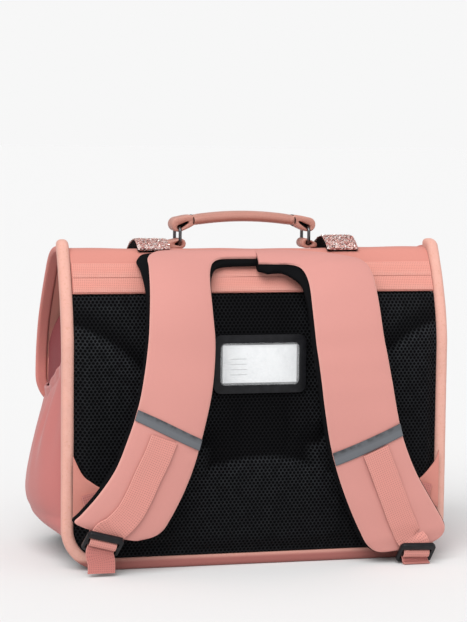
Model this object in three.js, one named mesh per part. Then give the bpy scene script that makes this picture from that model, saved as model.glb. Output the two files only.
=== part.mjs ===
// A school satchel worn on the back, in millimetres: +X to the wearer's right as seen from the
// straps, +Z up, the straps on the -Y side, the flap's front on the +Y side, and the origin on the
// ground under the middle of the base.
import * as THREE from 'three';
import { mergeVertices } from 'three/addons/utils/BufferGeometryUtils.js';

// Overall sizes
const panelWidth = 380;
const panelHeight = 306;
const bagDepth = 180;
const cornerRadius = 40;
const topLean = 34;
const clearance = 0.3;

// Back panel and its edge
const bindingWidth = 11.5;
const bindingProud = 2;
const boardThickness = 5;
const meshThickness = 5.7;
const padRelief = 5;

// Hollow body
const wall = 2.5;
const sideInset = 12;
const frontInset = 14;
const rimGap = 12;
const boardGap = 1;
const gussetRecess = 14;
const gussetFold = 5;
const baseThickness = 2.5;
const baseHeight = 36;
const frontEdgeWidth = 8;
const frontEdgeThickness = 4;

// Flap
const flapThickness = 3;
const flapCrown = 4;
const flapSag = 1;
const flapEdgeWidth = bindingWidth;
const flapEdgeThickness = 6;
const lipRadius = 38;

// Side pockets
const pocketThickness = 1.8;
const pocketBulge = 35;
const pocketBottom = 26;
const pocketTop = 184;
const pocketHemRise = 10;
const gatherDepth = 1.2;
const gatherCount = 5;

// Shoulder straps
const strapReach = 38;
const leatherThickness = 2.6;
const paddingThickness = 11;
const thinnestPadding = 0.8;
const strapCrown = 2.4;
const seamGap = 0.4;
const tapeThickness = 0.9;
const webbingWidth = 26;
const webbingThickness = 1.6;
const lockWidth = 35;
const lockHeight = 23;
const lockThickness = 4;
const lockBar = 4;
const lockLip = 2.4;
const lockSlot = 5.4;
const wingThickness = 2.4;

// Card pocket
const frameWidth = 91;
const frameHeight = 56;
const frameThickness = 2.6;
const frameMiddle = 194;
const windowWidth = 78;
const windowHeight = 41;
const cardWidth = 73;
const cardHeight = 36;
const cardThickness = 0.6;
const filmThickness = 0.5;

// Glitter straps and clasps
const glitterSpacing = 188;
const glitterWidth = 33;
const glitterThickness = 2;
const backingThickness = 1.8;
const archHeight = 5;
const tongueLength = 20;
const claspWidth = 38;
const claspHeight = 32;

// Carrying handle
const ringSpacing = 130;
const ringDepth = 29;
const ringHeight = 19;
const ringWire = 3.2;
const ringMiddleDepth = 0.415;
const loopWidth = 21;
const loopThickness = 2.2;
const gripLength = 102;
const gripWidth = 25;
const gripHeight = 10.4;
const gripAboveBar = 7;
const gripRise = 4;

// Places that several pieces share
const halfWidth = panelWidth / 2;
const backFace = -bagDepth / 2;
const meshBack = backFace + meshThickness;
const boardBack = meshBack + clearance + boardThickness;
const bodyBack = boardBack + boardGap;
const bodyFront = bagDepth / 2 - frontInset;
const bodyHalf = halfWidth - sideInset;
const bandBottom = 0.855 * panelHeight;
const meshTop = bandBottom - 2;
const glitterMiddle = glitterSpacing / 2;
const ringMiddleX = ringSpacing / 2;
const ringMiddleY = backFace + ringMiddleDepth * bagDepth;

// The flap's outer face seen from the side, from the strap side over the top to the lip: depth is a
// share of bagDepth from the back face, height a share of panelHeight.
const flapProfile = [
  { depth: 0.066, height: 0.855 },
  { depth: 0.104, height: 0.905 },
  { depth: 0.150, height: 0.955 },
  { depth: 0.200, height: 0.984 },
  { depth: 0.280, height: 0.989 },
  { depth: 0.415, height: 0.976 },
  { depth: 0.510, height: 0.951 },
  { depth: 0.635, height: 0.888 },
  { depth: 0.782, height: 0.800 },
  { depth: 0.878, height: 0.729 },
  { depth: 0.938, height: 0.659 },
  { depth: 0.972, height: 0.590 },
  { depth: 0.978, height: 0.520 },
  { depth: 0.970, height: 0.418 },
];

// The shoulder straps' face seen from the side: height is a share of panelHeight, lean a share of
// topLean and reach a share of strapReach away from the back.
const strapFall = [
  { height: 1.010, lean: 1.12, reach: 0.00 },
  { height: 0.988, lean: 0.82, reach: 0.00 },
  { height: 0.972, lean: 0.52, reach: 0.00 },
  { height: 0.948, lean: 0.17, reach: 0.00 },
  { height: 0.915, lean: 0.00, reach: 0.12 },
  { height: 0.880, lean: 0.00, reach: 0.34 },
  { height: 0.840, lean: 0.00, reach: 0.53 },
  { height: 0.780, lean: 0.00, reach: 0.71 },
  { height: 0.700, lean: 0.00, reach: 0.85 },
  { height: 0.600, lean: 0.00, reach: 0.96 },
  { height: 0.500, lean: 0.00, reach: 1.00 },
  { height: 0.400, lean: 0.00, reach: 0.98 },
  { height: 0.300, lean: 0.00, reach: 0.92 },
  { height: 0.200, lean: 0.00, reach: 0.84 },
  { height: 0.100, lean: 0.00, reach: 0.74 },
  { height: 0.000, lean: 0.00, reach: 0.62 },
];

// Outlines of the two straps, from the seam at the middle of the yoke down to the tip. The x columns
// are shares of half the panel's width, the z columns shares of its height.
const strapOutline = {
  left: [
    { outerX: 0.000, outerZ: 0.988, innerX: 0.000, innerZ: 0.967 },
    { outerX: 0.170, outerZ: 0.988, innerX: 0.115, innerZ: 0.967 },
    { outerX: 0.345, outerZ: 0.988, innerX: 0.190, innerZ: 0.965 },
    { outerX: 0.500, outerZ: 0.985, innerX: 0.236, innerZ: 0.953 },
    { outerX: 0.556, outerZ: 0.970, innerX: 0.258, innerZ: 0.930 },
    { outerX: 0.566, outerZ: 0.940, innerX: 0.268, innerZ: 0.901 },
    { outerX: 0.577, outerZ: 0.878, innerX: 0.274, innerZ: 0.858 },
    { outerX: 0.590, outerZ: 0.798, innerX: 0.272, innerZ: 0.790 },
    { outerX: 0.603, outerZ: 0.708, innerX: 0.267, innerZ: 0.708 },
    { outerX: 0.627, outerZ: 0.611, innerX: 0.276, innerZ: 0.624 },
    { outerX: 0.658, outerZ: 0.518, innerX: 0.296, innerZ: 0.538 },
    { outerX: 0.708, outerZ: 0.424, innerX: 0.333, innerZ: 0.434 },
    { outerX: 0.765, outerZ: 0.334, innerX: 0.372, innerZ: 0.340 },
    { outerX: 0.845, outerZ: 0.258, innerX: 0.417, innerZ: 0.262 },
    { outerX: 0.925, outerZ: 0.200, innerX: 0.459, innerZ: 0.205 },
    { outerX: 0.962, outerZ: 0.175, innerX: 0.490, innerZ: 0.168 },
    { outerX: 0.918, outerZ: 0.156, innerX: 0.520, innerZ: 0.138 },
    { outerX: 0.850, outerZ: 0.142, innerX: 0.566, innerZ: 0.118 },
    { outerX: 0.770, outerZ: 0.125, innerX: 0.646, innerZ: 0.108 },
  ],
  right: [
    { outerX: 0.000, outerZ: 0.988, innerX: 0.000, innerZ: 0.950 },
    { outerX: 0.180, outerZ: 0.988, innerX: 0.084, innerZ: 0.949 },
    { outerX: 0.345, outerZ: 0.981, innerX: 0.151, innerZ: 0.948 },
    { outerX: 0.490, outerZ: 0.969, innerX: 0.200, innerZ: 0.941 },
    { outerX: 0.555, outerZ: 0.954, innerX: 0.226, innerZ: 0.922 },
    { outerX: 0.579, outerZ: 0.922, innerX: 0.237, innerZ: 0.890 },
    { outerX: 0.586, outerZ: 0.856, innerX: 0.238, innerZ: 0.822 },
    { outerX: 0.597, outerZ: 0.750, innerX: 0.244, innerZ: 0.736 },
    { outerX: 0.617, outerZ: 0.667, innerX: 0.255, innerZ: 0.667 },
    { outerX: 0.638, outerZ: 0.590, innerX: 0.269, innerZ: 0.597 },
    { outerX: 0.657, outerZ: 0.524, innerX: 0.284, innerZ: 0.521 },
    { outerX: 0.684, outerZ: 0.445, innerX: 0.310, innerZ: 0.424 },
    { outerX: 0.725, outerZ: 0.368, innerX: 0.340, innerZ: 0.347 },
    { outerX: 0.784, outerZ: 0.288, innerX: 0.380, innerZ: 0.271 },
    { outerX: 0.862, outerZ: 0.208, innerX: 0.434, innerZ: 0.188 },
    { outerX: 0.932, outerZ: 0.139, innerX: 0.494, innerZ: 0.111 },
    { outerX: 0.950, outerZ: 0.108, innerX: 0.540, innerZ: 0.063 },
    { outerX: 0.935, outerZ: 0.082, innerX: 0.598, innerZ: 0.039 },
    { outerX: 0.880, outerZ: 0.062, innerX: 0.690, innerZ: 0.041 },
  ],
};

// Where each strap's tape and webbing lie. The stations count the rows of strapOutline, and the
// webbing's middle line and the lock's upper edge are in shares of half the panel's width and of its
// height. The lock's tilt is in degrees: turn lowers its end on +X, pitch leans its foot towards the back.
const strapFittings = {
  left: {
    tape: { outerTop: 10.02, outerEnd: 10.36, innerTop: 11.14, innerEnd: 11.50 },
    webbing: [
      { x: 0.531, z: 0.428 },
      { x: 0.561, z: 0.379 },
      { x: 0.611, z: 0.311 },
      { x: 0.653, z: 0.250 },
      { x: 0.705, z: 0.193 },
      { x: 0.763, z: 0.157 },
    ],
    lock: { x: 0.814, z: 0.131, turn: 15, pitch: 42, lift: 9 },
    wing: [[0.945, 0.364], [0.800, 0.245], [0.790, 0.190], [0.945, 0.170]],
    rear: [[8.0, -7.6], [5.6, -4.7]],
    tail: {
      x: 0.826,
      overBar: true,
      path: [{ depth: -0.150, height: 0.045 }, { depth: -0.150, height: 0.005 }],
    },
  },
  right: {
    tape: { outerTop: 10.90, outerEnd: 11.40, innerTop: 11.77, innerEnd: 12.30 },
    webbing: [
      { x: 0.549, z: 0.372 },
      { x: 0.588, z: 0.316 },
      { x: 0.653, z: 0.220 },
      { x: 0.712, z: 0.136 },
      { x: 0.757, z: 0.086 },
    ],
    lock: { x: 0.789, z: 0.063, turn: 2, pitch: 42, lift: 12 },
    wing: [[0.945, 0.317], [0.800, 0.245], [0.790, 0.190], [0.945, 0.170]],
    rear: [[0.6, -8.2], [3.3, -5]],
    tail: {
      x: 0.792,
      overBar: false,
      path: [{ depth: -0.164, height: 0.0078 }, { depth: -0.189, height: 0.005 }],
    },
  },
};

// The side pocket's bulge from bottom to hem: rise is a share of its height, bulge a share of
// pocketBulge, gather the share of gatherDepth that shows there.
const pocketRows = [
  { rise: 0.00, bulge: 0.02, gather: 0.0 },
  { rise: 0.04, bulge: 0.31, gather: 0.0 },
  { rise: 0.09, bulge: 0.52, gather: 0.0 },
  { rise: 0.17, bulge: 0.78, gather: 0.1 },
  { rise: 0.27, bulge: 0.95, gather: 0.2 },
  { rise: 0.37, bulge: 1.00, gather: 0.3 },
  { rise: 0.50, bulge: 0.90, gather: 0.5 },
  { rise: 0.64, bulge: 0.72, gather: 0.8 },
  { rise: 0.76, bulge: 0.50, gather: 1.0 },
  { rise: 0.87, bulge: 0.33, gather: 1.0 },
  { rise: 0.94, bulge: 0.25, gather: 0.8 },
  { rise: 1.00, bulge: 0.22, gather: 0.6 },
];

// Raised pads of the back: middle and size in shares of half the width and of the height.
const backPads = [
  { x: -0.64, z: 0.36, sizeX: 0.34, sizeZ: 0.33, height: 1.0 },
  { x: 0.64, z: 0.36, sizeX: 0.34, sizeZ: 0.33, height: 1.0 },
  { x: 0.04, z: 0.12, sizeX: 0.36, sizeZ: 0.21, height: 1.0 },
];

// Basic geometry

const vector = (x, y, z) => new THREE.Vector3(x, y, z);
const mix = (a, b, t) => a + (b - a) * t;
const clamp = (value, low, high) => Math.min(high, Math.max(low, value));
const ease = (value) => {
  const t = clamp(value, 0, 1);
  return t * t * (3 - 2 * t);
};
const steps = (count) => Array.from({ length: count + 1 }, (_, i) => i / count);

// A closed body from its points and triangles, turned so that its faces point out.
function closedBody(points, triangles) {
  let volume = 0;
  for (let i = 0; i < triangles.length; i += 3) {
    const [a, b, c] = [points[triangles[i]], points[triangles[i + 1]], points[triangles[i + 2]]];
    volume += a.dot(vector(0, 0, 0).crossVectors(b, c));
  }
  const faces = volume < 0 ? triangles.slice().reverse() : triangles;
  const geometry = new THREE.BufferGeometry();
  const numbers = points.flatMap((point) => [point.x, point.y, point.z]);
  geometry.setAttribute('position', new THREE.Float32BufferAttribute(numbers, 3));
  geometry.setIndex(faces);
  geometry.computeVertexNormals();
  return geometry;
}

// Rings of equal length joined into a tube. Its ends are capped, unless the tube closes on itself.
function loft(rings, closed = false) {
  const size = rings[0].length;
  const points = rings.flat();
  const triangles = [];
  const last = closed ? rings.length : rings.length - 1;
  for (let i = 0; i < last; i += 1) {
    const near = i * size;
    const far = ((i + 1) % rings.length) * size;
    for (let j = 0; j < size; j += 1) {
      const k = (j + 1) % size;
      triangles.push(near + j, near + k, far + k, near + j, far + k, far + j);
    }
  }
  if (!closed) {
    for (const [start, turn] of [[0, 1], [(rings.length - 1) * size, 0]]) {
      const middle = vector(0, 0, 0);
      for (let j = 0; j < size; j += 1) {
        middle.addScaledVector(points[start + j], 1 / size);
      }
      const centre = points.push(middle) - 1;
      for (let j = 0; j < size; j += 1) {
        const k = (j + 1) % size;
        triangles.push(centre, start + (turn ? k : j), start + (turn ? j : k));
      }
    }
  }
  return closedBody(points, triangles);
}

// A sheet with a front and a back grid of points, joined round its four edges.
function sheet(front, back) {
  const rows = front.length;
  const columns = front[0].length;
  const points = [...front.flat(), ...back.flat()];
  const shift = rows * columns;
  const at = (i, j, side) => side * shift + i * columns + j;
  const triangles = [];
  const quad = (a, b, c, d) => triangles.push(a, b, c, a, c, d);
  for (let i = 0; i + 1 < rows; i += 1) {
    for (let j = 0; j + 1 < columns; j += 1) {
      quad(at(i, j, 0), at(i, j + 1, 0), at(i + 1, j + 1, 0), at(i + 1, j, 0));
      quad(at(i, j, 1), at(i + 1, j, 1), at(i + 1, j + 1, 1), at(i, j + 1, 1));
    }
  }
  for (let j = 0; j + 1 < columns; j += 1) {
    quad(at(0, j, 0), at(0, j, 1), at(0, j + 1, 1), at(0, j + 1, 0));
    quad(at(rows - 1, j, 0), at(rows - 1, j + 1, 0), at(rows - 1, j + 1, 1), at(rows - 1, j, 1));
  }
  for (let i = 0; i + 1 < rows; i += 1) {
    quad(at(i, 0, 0), at(i + 1, 0, 0), at(i + 1, 0, 1), at(i, 0, 1));
    quad(at(i, columns - 1, 0), at(i, columns - 1, 1), at(i + 1, columns - 1, 1), at(i + 1, columns - 1, 0));
  }
  return closedBody(points, triangles);
}

// A rounded bar's section with eight corners, in the two directions across its path.
function softSection(width, thickness, softness = 0.3) {
  const [w, t] = [width / 2, thickness / 2];
  const cut = softness * Math.min(width, thickness);
  return [[-w, -t + cut], [-w + cut, -t], [w - cut, -t], [w, -t + cut],
    [w, t - cut], [w - cut, t], [-w + cut, t], [-w, t - cut]];
}

const flatSection = (width, thickness) => [
  [-width / 2, -thickness / 2], [width / 2, -thickness / 2],
  [width / 2, thickness / 2], [-width / 2, thickness / 2]];

const roundSection = (width, height, sides) => steps(sides).slice(1).map((share) => [
  width / 2 * Math.cos(share * 2 * Math.PI), height / 2 * Math.sin(share * 2 * Math.PI)]);

// One section carried along stations, each with a point and the two directions across the path.
function carry(section, stations, closed = false) {
  const rings = stations.map(({ point, across, out }) => section.map(([u, v]) => (
    point.clone().addScaledVector(across, u).addScaledVector(out, v))));
  return loft(rings, closed);
}

// Stations of a band whose width keeps one direction and whose path lies square to it.
function bandStations(path, across, closed = false) {
  return path.map((point, i) => {
    const before = path[closed ? (i + path.length - 1) % path.length : Math.max(i - 1, 0)];
    const after = path[closed ? (i + 1) % path.length : Math.min(i + 1, path.length - 1)];
    const along = after.clone().sub(before).normalize();
    const out = vector(0, 0, 0).crossVectors(along, across).normalize();
    const square = vector(0, 0, 0).crossVectors(out, along).normalize();
    return { point, across: square, out };
  });
}

// A value read from a table by one of its columns, in straight steps between rows.
function lookUp(table, key, value, column) {
  const rising = table[table.length - 1][key] > table[0][key];
  const rows = rising ? table : [...table].reverse();
  for (let i = 0; i + 1 < rows.length; i += 1) {
    const [a, b] = [rows[i], rows[i + 1]];
    if (value <= b[key] || i + 2 === rows.length) {
      return mix(a[column], b[column], clamp((value - a[key]) / (b[key] - a[key]), -1, 1.5));
    }
  }
  return rows[0][column];
}

// How far the back leans towards the flap at a height.
const leanAt = (z) => topLean * Math.pow(clamp((z / panelHeight - 0.68) / 0.32, 0, 1.05), 1.7);

// Half the width of an outline with round lower corners, drawn in by an inset.
function outlineHalf(z, inset, half = halfWidth, radius = cornerRadius) {
  const rise = radius - z;
  if (rise <= 0) {
    return half - inset;
  }
  const arc = Math.sqrt(Math.max((radius - inset) ** 2 - rise ** 2, 0));
  return half - radius + arc;
}

// Heights that follow a round lower corner closely and then climb to a top.
function outlineHeights(inset, top, arcSteps, upperShares) {
  const radius = cornerRadius - inset;
  const arc = steps(arcSteps).map((share) => cornerRadius - radius * Math.cos(share * Math.PI / 2));
  return [...arc, ...upperShares.map((share) => mix(cornerRadius, top, share))];
}

// The flap's smooth line, measured from the strap side, with its point and outward direction.
const flapCurve = new THREE.CatmullRomCurve3(
  flapProfile.map(({ depth, height }) => vector(0, backFace + depth * bagDepth, height * panelHeight)),
  false, 'centripetal');
const flapLength = flapCurve.getLength();

// How far the flap swells out from its line towards the middle of its width. Its top sags a little
// under the handle, and its front is full.
function flapSwell(distance, x) {
  const share = distance / flapLength;
  const height = mix(-flapSag, flapCrown, ease((share - 0.35) / 0.3));
  return height * (1 - (x / halfWidth) ** 2) * ease(share / 0.15);
}

function flapAt(distance, x) {
  const share = clamp(distance / flapLength, 0, 1);
  const point = flapCurve.getPointAt(share);
  const along = flapCurve.getTangentAt(share);
  const out = vector(0, -along.z, along.y);
  point.addScaledVector(along, distance - share * flapLength);
  point.addScaledVector(out, flapSwell(distance, x));
  return { point: vector(x, point.y, point.z), along, out };
}

// The flap's height above a depth, and how far along the flap that lies.
const flapSamples = steps(160).map((share) => ({
  distance: share * flapLength,
  y: flapCurve.getPointAt(share).y,
  z: flapCurve.getPointAt(share).z,
}));
const flapOver = (y) => flapSamples.filter((sample) => sample.z > 0.5 * panelHeight)
  .reduce((best, sample) => (Math.abs(sample.y - y) < Math.abs(best.y - y) ? sample : best));

// How far along the flap its strap side reaches a height.
function flapClimb(z) {
  const top = flapSamples.findIndex((sample, i) => i > 0 && flapSamples[i - 1].z > sample.z);
  return (flapSamples.slice(0, top).find((sample) => sample.z >= z) ?? flapSamples[top]).distance;
}

// The shoulder straps' face at a height, with its outward direction.
function strapFaceAt(z) {
  const depthAt = (height) => {
    const lean = lookUp(strapFall, 'height', height / panelHeight, 'lean');
    const reach = lookUp(strapFall, 'height', height / panelHeight, 'reach');
    return backFace + lean * topLean - reach * strapReach;
  };
  const span = 0.02 * panelHeight;
  const slope = (depthAt(z + span) - depthAt(z - span)) / (2 * span);
  return { y: depthAt(z), out: vector(0, -1, slope).normalize() };
}

// A point of a strap: station along its outline, place across from -1 at the outer edge to 1 at the
// inner edge, and lift above the face.
function strapPoint(name, station, place, lift) {
  const rows = strapOutline[name];
  const index = clamp(Math.floor(station), 0, rows.length - 2);
  const [a, b] = [rows[index], rows[index + 1]];
  const t = station - index;
  const share = (place + 1) / 2;
  const x = mix(mix(a.outerX, b.outerX, t), mix(a.innerX, b.innerX, t), share) * halfWidth;
  const z = mix(mix(a.outerZ, b.outerZ, t), mix(a.innerZ, b.innerZ, t), share) * panelHeight;
  const face = strapFaceAt(z);
  const side = name === 'left' ? -1 : 1;
  return vector(side * Math.max(x, seamGap / 2), face.y, z)
    .addScaledVector(face.out, lift + flapSwell(flapClimb(z), x));
}

// Materials

const finish = (color, roughness, metalness = 0) => (
  new THREE.MeshStandardMaterial({ color, roughness, metalness }));
const pinkLeather = finish(0xeba99f, 0.6);
const pinkCloth = finish(0xe39a90, 0.85);
const edgeTape = finish(0xefb3a6, 0.8);
const deepPink = finish(0xb56a63, 0.85);
const blackMesh = finish(0x1d1e20, 0.95);
const blackCloth = finish(0x222224, 0.9);
const blackPlastic = finish(0x18181a, 0.45);
const greyTape = finish(0x75797d, 0.4);
const glitter = finish(0xc99a92, 0.35, 0.3);
const darkMetal = finish(0x3c3c40, 0.3, 0.9);
const clearFilm = finish(0xe9ecee, 0.15);
const plainCard = finish(0xdadada, 0.6);

const satchel = new THREE.Group();
function add(name, geometry, material) {
  const mesh = new THREE.Mesh(geometry, material);
  mesh.name = name;
  satchel.add(mesh);
}

const sides = [
  { name: 'left', sign: -1 },
  { name: 'right', sign: 1 },
];

// Hollow body: a tub with round lower corners whose rim follows the flap's underside

const rimHeight = (y) => flapOver(y).z - flapThickness - rimGap;

// Shares of the quarter turn that the round lower corners are made in.
const cornerTurns = [0, 0.25, 0.5, 0.75, 1];

// One ring of the tub: x as a share of the half width, depth as a share from back to front.
function tubRing() {
  const cornerX = 0.985;
  const cornerDepth = 0.02;
  const across = [-0.6, 0, 0.6];
  const along = [0.14, 0.3, 0.5, 0.7, 0.88];
  const front = [[-cornerX, 1], ...across.map((x) => [x, 1]), [cornerX, 1]];
  const right = [[1, 1 - cornerDepth], ...[...along].reverse().map((d) => [1, d]), [1, cornerDepth]];
  const back = [[cornerX, 0], ...[...across].reverse().map((x) => [x, 0]), [-cornerX, 0]];
  const left = [[-1, cornerDepth], ...along.map((d) => [-1, d]), [-1, 1 - cornerDepth]];
  return [...front, ...right, ...back, ...left];
}

function tubPoint(share, depth, level, inset) {
  const radius = cornerRadius - baseThickness - clearance;
  const nominal = mix(bodyBack, bodyFront, depth);
  const rim = rimHeight(nominal + (1 - depth) * topLean * 0.8);
  const turn = clamp(level, 0, 1) * Math.PI / 2;
  const rise = cornerRadius - (radius - inset) * Math.cos(turn);
  const upper = mix(cornerRadius, rim, level - 1);
  const z = level <= 1 ? rise : upper;
  const middle = Math.sin(depth * Math.PI);
  const recess = gussetRecess * middle * ease((z / panelHeight - 0.5) / 0.3);
  const fold = gussetFold * Math.exp(-(((depth - 0.14) / 0.07) ** 2))
    * ease((z / panelHeight - 0.64) / 0.08) * ease((0.9 - z / panelHeight) / 0.1);
  const half = bodyHalf - radius + (radius - inset) * Math.sin(turn);
  const x = share * (half - Math.abs(share) ** 8 * (recess - fold));
  const back = bodyBack + leanAt(z) + inset;
  return vector(x, mix(back, bodyFront - inset, depth), z);
}

function makeBody() {
  const ring = tubRing();
  const levels = [...cornerTurns, 1.26, 1.48, 1.62, 1.74, 1.83, 1.92, 2];
  const outer = levels.map((level) => ring.map(([x, d]) => tubPoint(x, d, level, 0)));
  const inner = levels.map((level) => ring.map(([x, d]) => tubPoint(x, d, level, wall))).reverse();
  return loft([...outer, ...inner]);
}

add('bag_body', makeBody(), pinkCloth);

// Base: a tough strip that wraps the round lower corners, with a flat underside on the ground

function baseStation(turnShare, lift) {
  const reach = bodyHalf - (cornerRadius - baseThickness - clearance);
  const radius = cornerRadius - baseThickness + lift;
  const turn = turnShare * Math.PI / 2;
  return { x: reach + radius * Math.sin(turn), z: cornerRadius - radius * Math.cos(turn) };
}

const baseTurn = Math.acos(1 - baseHeight / cornerRadius) / (Math.PI / 2);

function makeBase() {
  const turns = [...cornerTurns.filter((turn) => turn < baseTurn - 0.02), baseTurn];
  const line = [...turns.map((turn) => ({ turn, side: 1 })).reverse(),
    ...turns.map((turn) => ({ turn, side: -1 }))];
  const depths = [bodyBack + clearance, bodyFront];
  const face = (lift) => line.map(({ turn, side }) => {
    const { x, z } = baseStation(turn, lift);
    return depths.map((y) => vector(side * x, y, z));
  });
  return sheet(face(baseThickness), face(0));
}

add('base_panel', makeBase(), blackCloth);

for (const { name, sign } of sides) {
  const shares = [0.5, 0.625, 0.75];
  const [front, back] = [baseThickness + clearance + tapeThickness, baseThickness + clearance]
    .map((lift) => shares.map((share) => {
      const place = baseStation(share, lift);
      return [bodyBack + 1, bodyFront - 1].map((y) => vector(sign * place.x, y, place.z));
    }));
  add(`base_reflector_${name}`, sheet(front, back), greyTape);
}

// Back: a board, the raised mesh pad and the tape that binds their edge

function backSheet(top, faceY, backY, inset, relief) {
  const columns = [-1, -0.87, -0.73, -0.56, -0.4, -0.28, -0.14, 0, 0.14, 0.28, 0.4, 0.56, 0.73, 0.87, 1];
  const rows = outlineHeights(inset, top, 4, [0.14, 0.28, 0.42, 0.54, 0.66, 0.76, 0.85, 0.93, 1]);
  const grid = (y, swell) => rows.map((z) => columns.map((c) => {
    const x = c * outlineHalf(z, inset);
    return vector(x, y + leanAt(z) - swell(x, z), z);
  }));
  return sheet(grid(faceY, relief), grid(backY, () => 0));
}

// The raised pads swell smoothly and stay flat at the bound edge and behind the card pocket.
function padSwell(x, z) {
  const [u, v] = [x / halfWidth, z / panelHeight];
  const swell = backPads.reduce((sum, pad) => {
    const distance = ((u - pad.x) / pad.sizeX) ** 4 + ((v - pad.z) / pad.sizeZ) ** 4;
    return sum + pad.height * ease(1.25 - distance);
  }, 0);
  return padRelief * Math.min(swell, 1);
}

const backInset = bindingWidth + clearance;
const boardTop = 0.955 * panelHeight;
add('back_board', backSheet(boardTop, meshBack + clearance, boardBack, backInset, () => 0), blackCloth);
add('back_mesh_pad', backSheet(meshTop, backFace, meshBack, backInset, padSwell), blackMesh);

// Stations round the back's U from the left top corner to the right one.
function bindingStations() {
  const reach = halfWidth - bindingWidth / 2;
  const middleY = (backFace - bindingProud + boardBack) / 2;
  const radius = cornerRadius - bindingWidth / 2;
  const upper = [0.978, 0.95, 0.915, 0.875, 0.83, 0.77, 0.7, 0.5, 0.3].map((share) => {
    const z = share * panelHeight;
    return { x: reach, z, across: [1, 0], lean: leanAt(z) };
  });
  const arc = steps(6).map((share) => {
    const turn = share * Math.PI / 2;
    return {
      x: halfWidth - cornerRadius + radius * Math.cos(turn),
      z: cornerRadius - radius * Math.sin(turn),
      across: [Math.cos(turn), -Math.sin(turn)],
      lean: 0,
    };
  });
  const half = [...upper, ...arc];
  const station = (sign) => ({ x, z, across, lean }) => {
    const slope = (leanAt(z + 1) - leanAt(z - 1)) / 2;
    return {
      point: vector(sign * x, middleY + lean, z),
      across: vector(sign * across[0], 0, across[1]),
      out: vector(0, -1, slope).normalize(),
    };
  };
  return [...half.map(station(-1)), ...half.map(station(1)).reverse()];
}

const bindingDepth = boardBack - backFace + bindingProud;
add('back_binding', carry(softSection(bindingWidth, bindingDepth), bindingStations()), edgeTape);

// A flatter edge round the body's front, below the flap's crown
function makeFrontEdge() {
  const reach = bodyHalf - frontEdgeWidth / 2;
  const inner = cornerRadius - frontEdgeWidth / 2;
  const y = bodyFront + clearance + frontEdgeThickness / 2;
  const top = rimHeight(bodyFront) - 10;
  const upper = [top, mix(top, cornerRadius, 0.5)].map((z) => ({ x: reach, z, across: [1, 0] }));
  const arc = steps(5).map((share) => {
    const turn = share * Math.PI / 2;
    return {
      x: bodyHalf - cornerRadius + inner * Math.cos(turn),
      z: cornerRadius - inner * Math.sin(turn),
      across: [Math.cos(turn), -Math.sin(turn)],
    };
  });
  const half = [...upper, ...arc];
  const station = (sign) => ({ x, z, across }) => ({
    point: vector(sign * x, y, z),
    across: vector(sign * across[0], 0, across[1]),
    out: vector(0, 1, 0),
  });
  const stations = [...half.map(station(-1)), ...half.map(station(1)).reverse()];
  return carry(softSection(frontEdgeWidth, frontEdgeThickness), stations);
}

add('front_binding', makeFrontEdge(), edgeTape);

// Flap: one sheet from the band on the strap side over the top to the lip, and its bound edge

// Half the flap's width at a distance from the lip, drawn in by an inset.
const flapHalf = (fromLip, inset) => outlineHalf(fromLip, inset, halfWidth, lipRadius);

function flapDistances(inset) {
  const lip = steps(4).map((share) => lipRadius - (lipRadius - inset) * Math.cos(share * Math.PI / 2));
  const start = flapLength - lipRadius;
  const rest = steps(19).slice(0, -1).map((share) => share * start);
  return [...rest, ...lip.map((fromLip) => flapLength - fromLip).reverse()];
}

function makeFlap() {
  const inset = flapEdgeWidth + clearance;
  const columns = [-1, -0.75, -0.5, -0.25, 0, 0.25, 0.5, 0.75, 1];
  const grid = (lift) => flapDistances(inset).map((distance) => columns.map((c) => {
    const x = c * flapHalf(flapLength - distance, inset);
    const { point, out } = flapAt(distance, x);
    return point.addScaledVector(out, lift);
  }));
  return sheet(grid(0), grid(-flapThickness));
}

add('flap', makeFlap(), pinkCloth);

// The bound edge starts where the back's binding ends and runs round the lip.
function makeFlapEdge() {
  const inset = flapEdgeWidth / 2;
  const start = flapOver(backFace + topLean + 4).distance;
  const distances = flapDistances(inset).filter((distance) => distance > start);
  const half = [start, ...distances].map((distance) => ({
    x: flapHalf(flapLength - distance, inset), distance,
  }));
  const path = [
    ...half.map(({ x, distance }) => ({ x: -x, distance })),
    ...half.map(({ x, distance }) => ({ x, distance })).reverse(),
  ];
  const places = path.map(({ x, distance }) => {
    const { point, out } = flapAt(distance, x);
    return { point: point.addScaledVector(out, -flapThickness / 2), out };
  });
  const stations = places.map(({ point, out }, i) => {
    const before = places[Math.max(i - 1, 0)].point;
    const after = places[Math.min(i + 1, places.length - 1)].point;
    const along = after.clone().sub(before).normalize();
    return { point, across: vector(0, 0, 0).crossVectors(along, out).normalize(), out };
  });
  return carry(softSection(flapEdgeWidth, flapEdgeThickness), stations);
}

add('flap_binding', makeFlapEdge(), edgeTape);

// Side pockets: gathered sheets that stand off the body's sides and are open at the hem

function makePocket(sign) {
  const columns = steps(12);
  const surface = (lift) => pocketRows.map((row) => columns.map((share) => {
    const top = pocketTop + pocketHemRise * (1 - share) ** 2;
    const z = mix(pocketBottom, top, row.rise);
    const foot = clearance + (baseThickness + 2 * clearance) * ease((baseHeight + 12 - z) / 11);
    const round = 1 - Math.abs(2 * share - 1) ** 2.6;
    const folds = Math.cos(share * gatherCount * 2 * Math.PI) * gatherDepth * row.gather * round;
    const stand = pocketBulge * row.bulge * round + folds;
    const y = mix(bodyBack + 3, bodyFront - 8, share);
    return vector(sign * (bodyHalf + foot + stand + lift), y, z);
  }));
  return sheet(surface(pocketThickness), surface(0));
}

for (const { name, sign } of sides) {
  add(`side_pocket_${name}`, makePocket(sign), deepPink);
}

// Shoulder straps: a leather face over thick padding, each with a tape, a webbing and a lock

const strapPlaces = [-1, -0.5, 0, 0.5, 1];
const crownAt = (place) => strapCrown * (1 - place * place);

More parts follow.
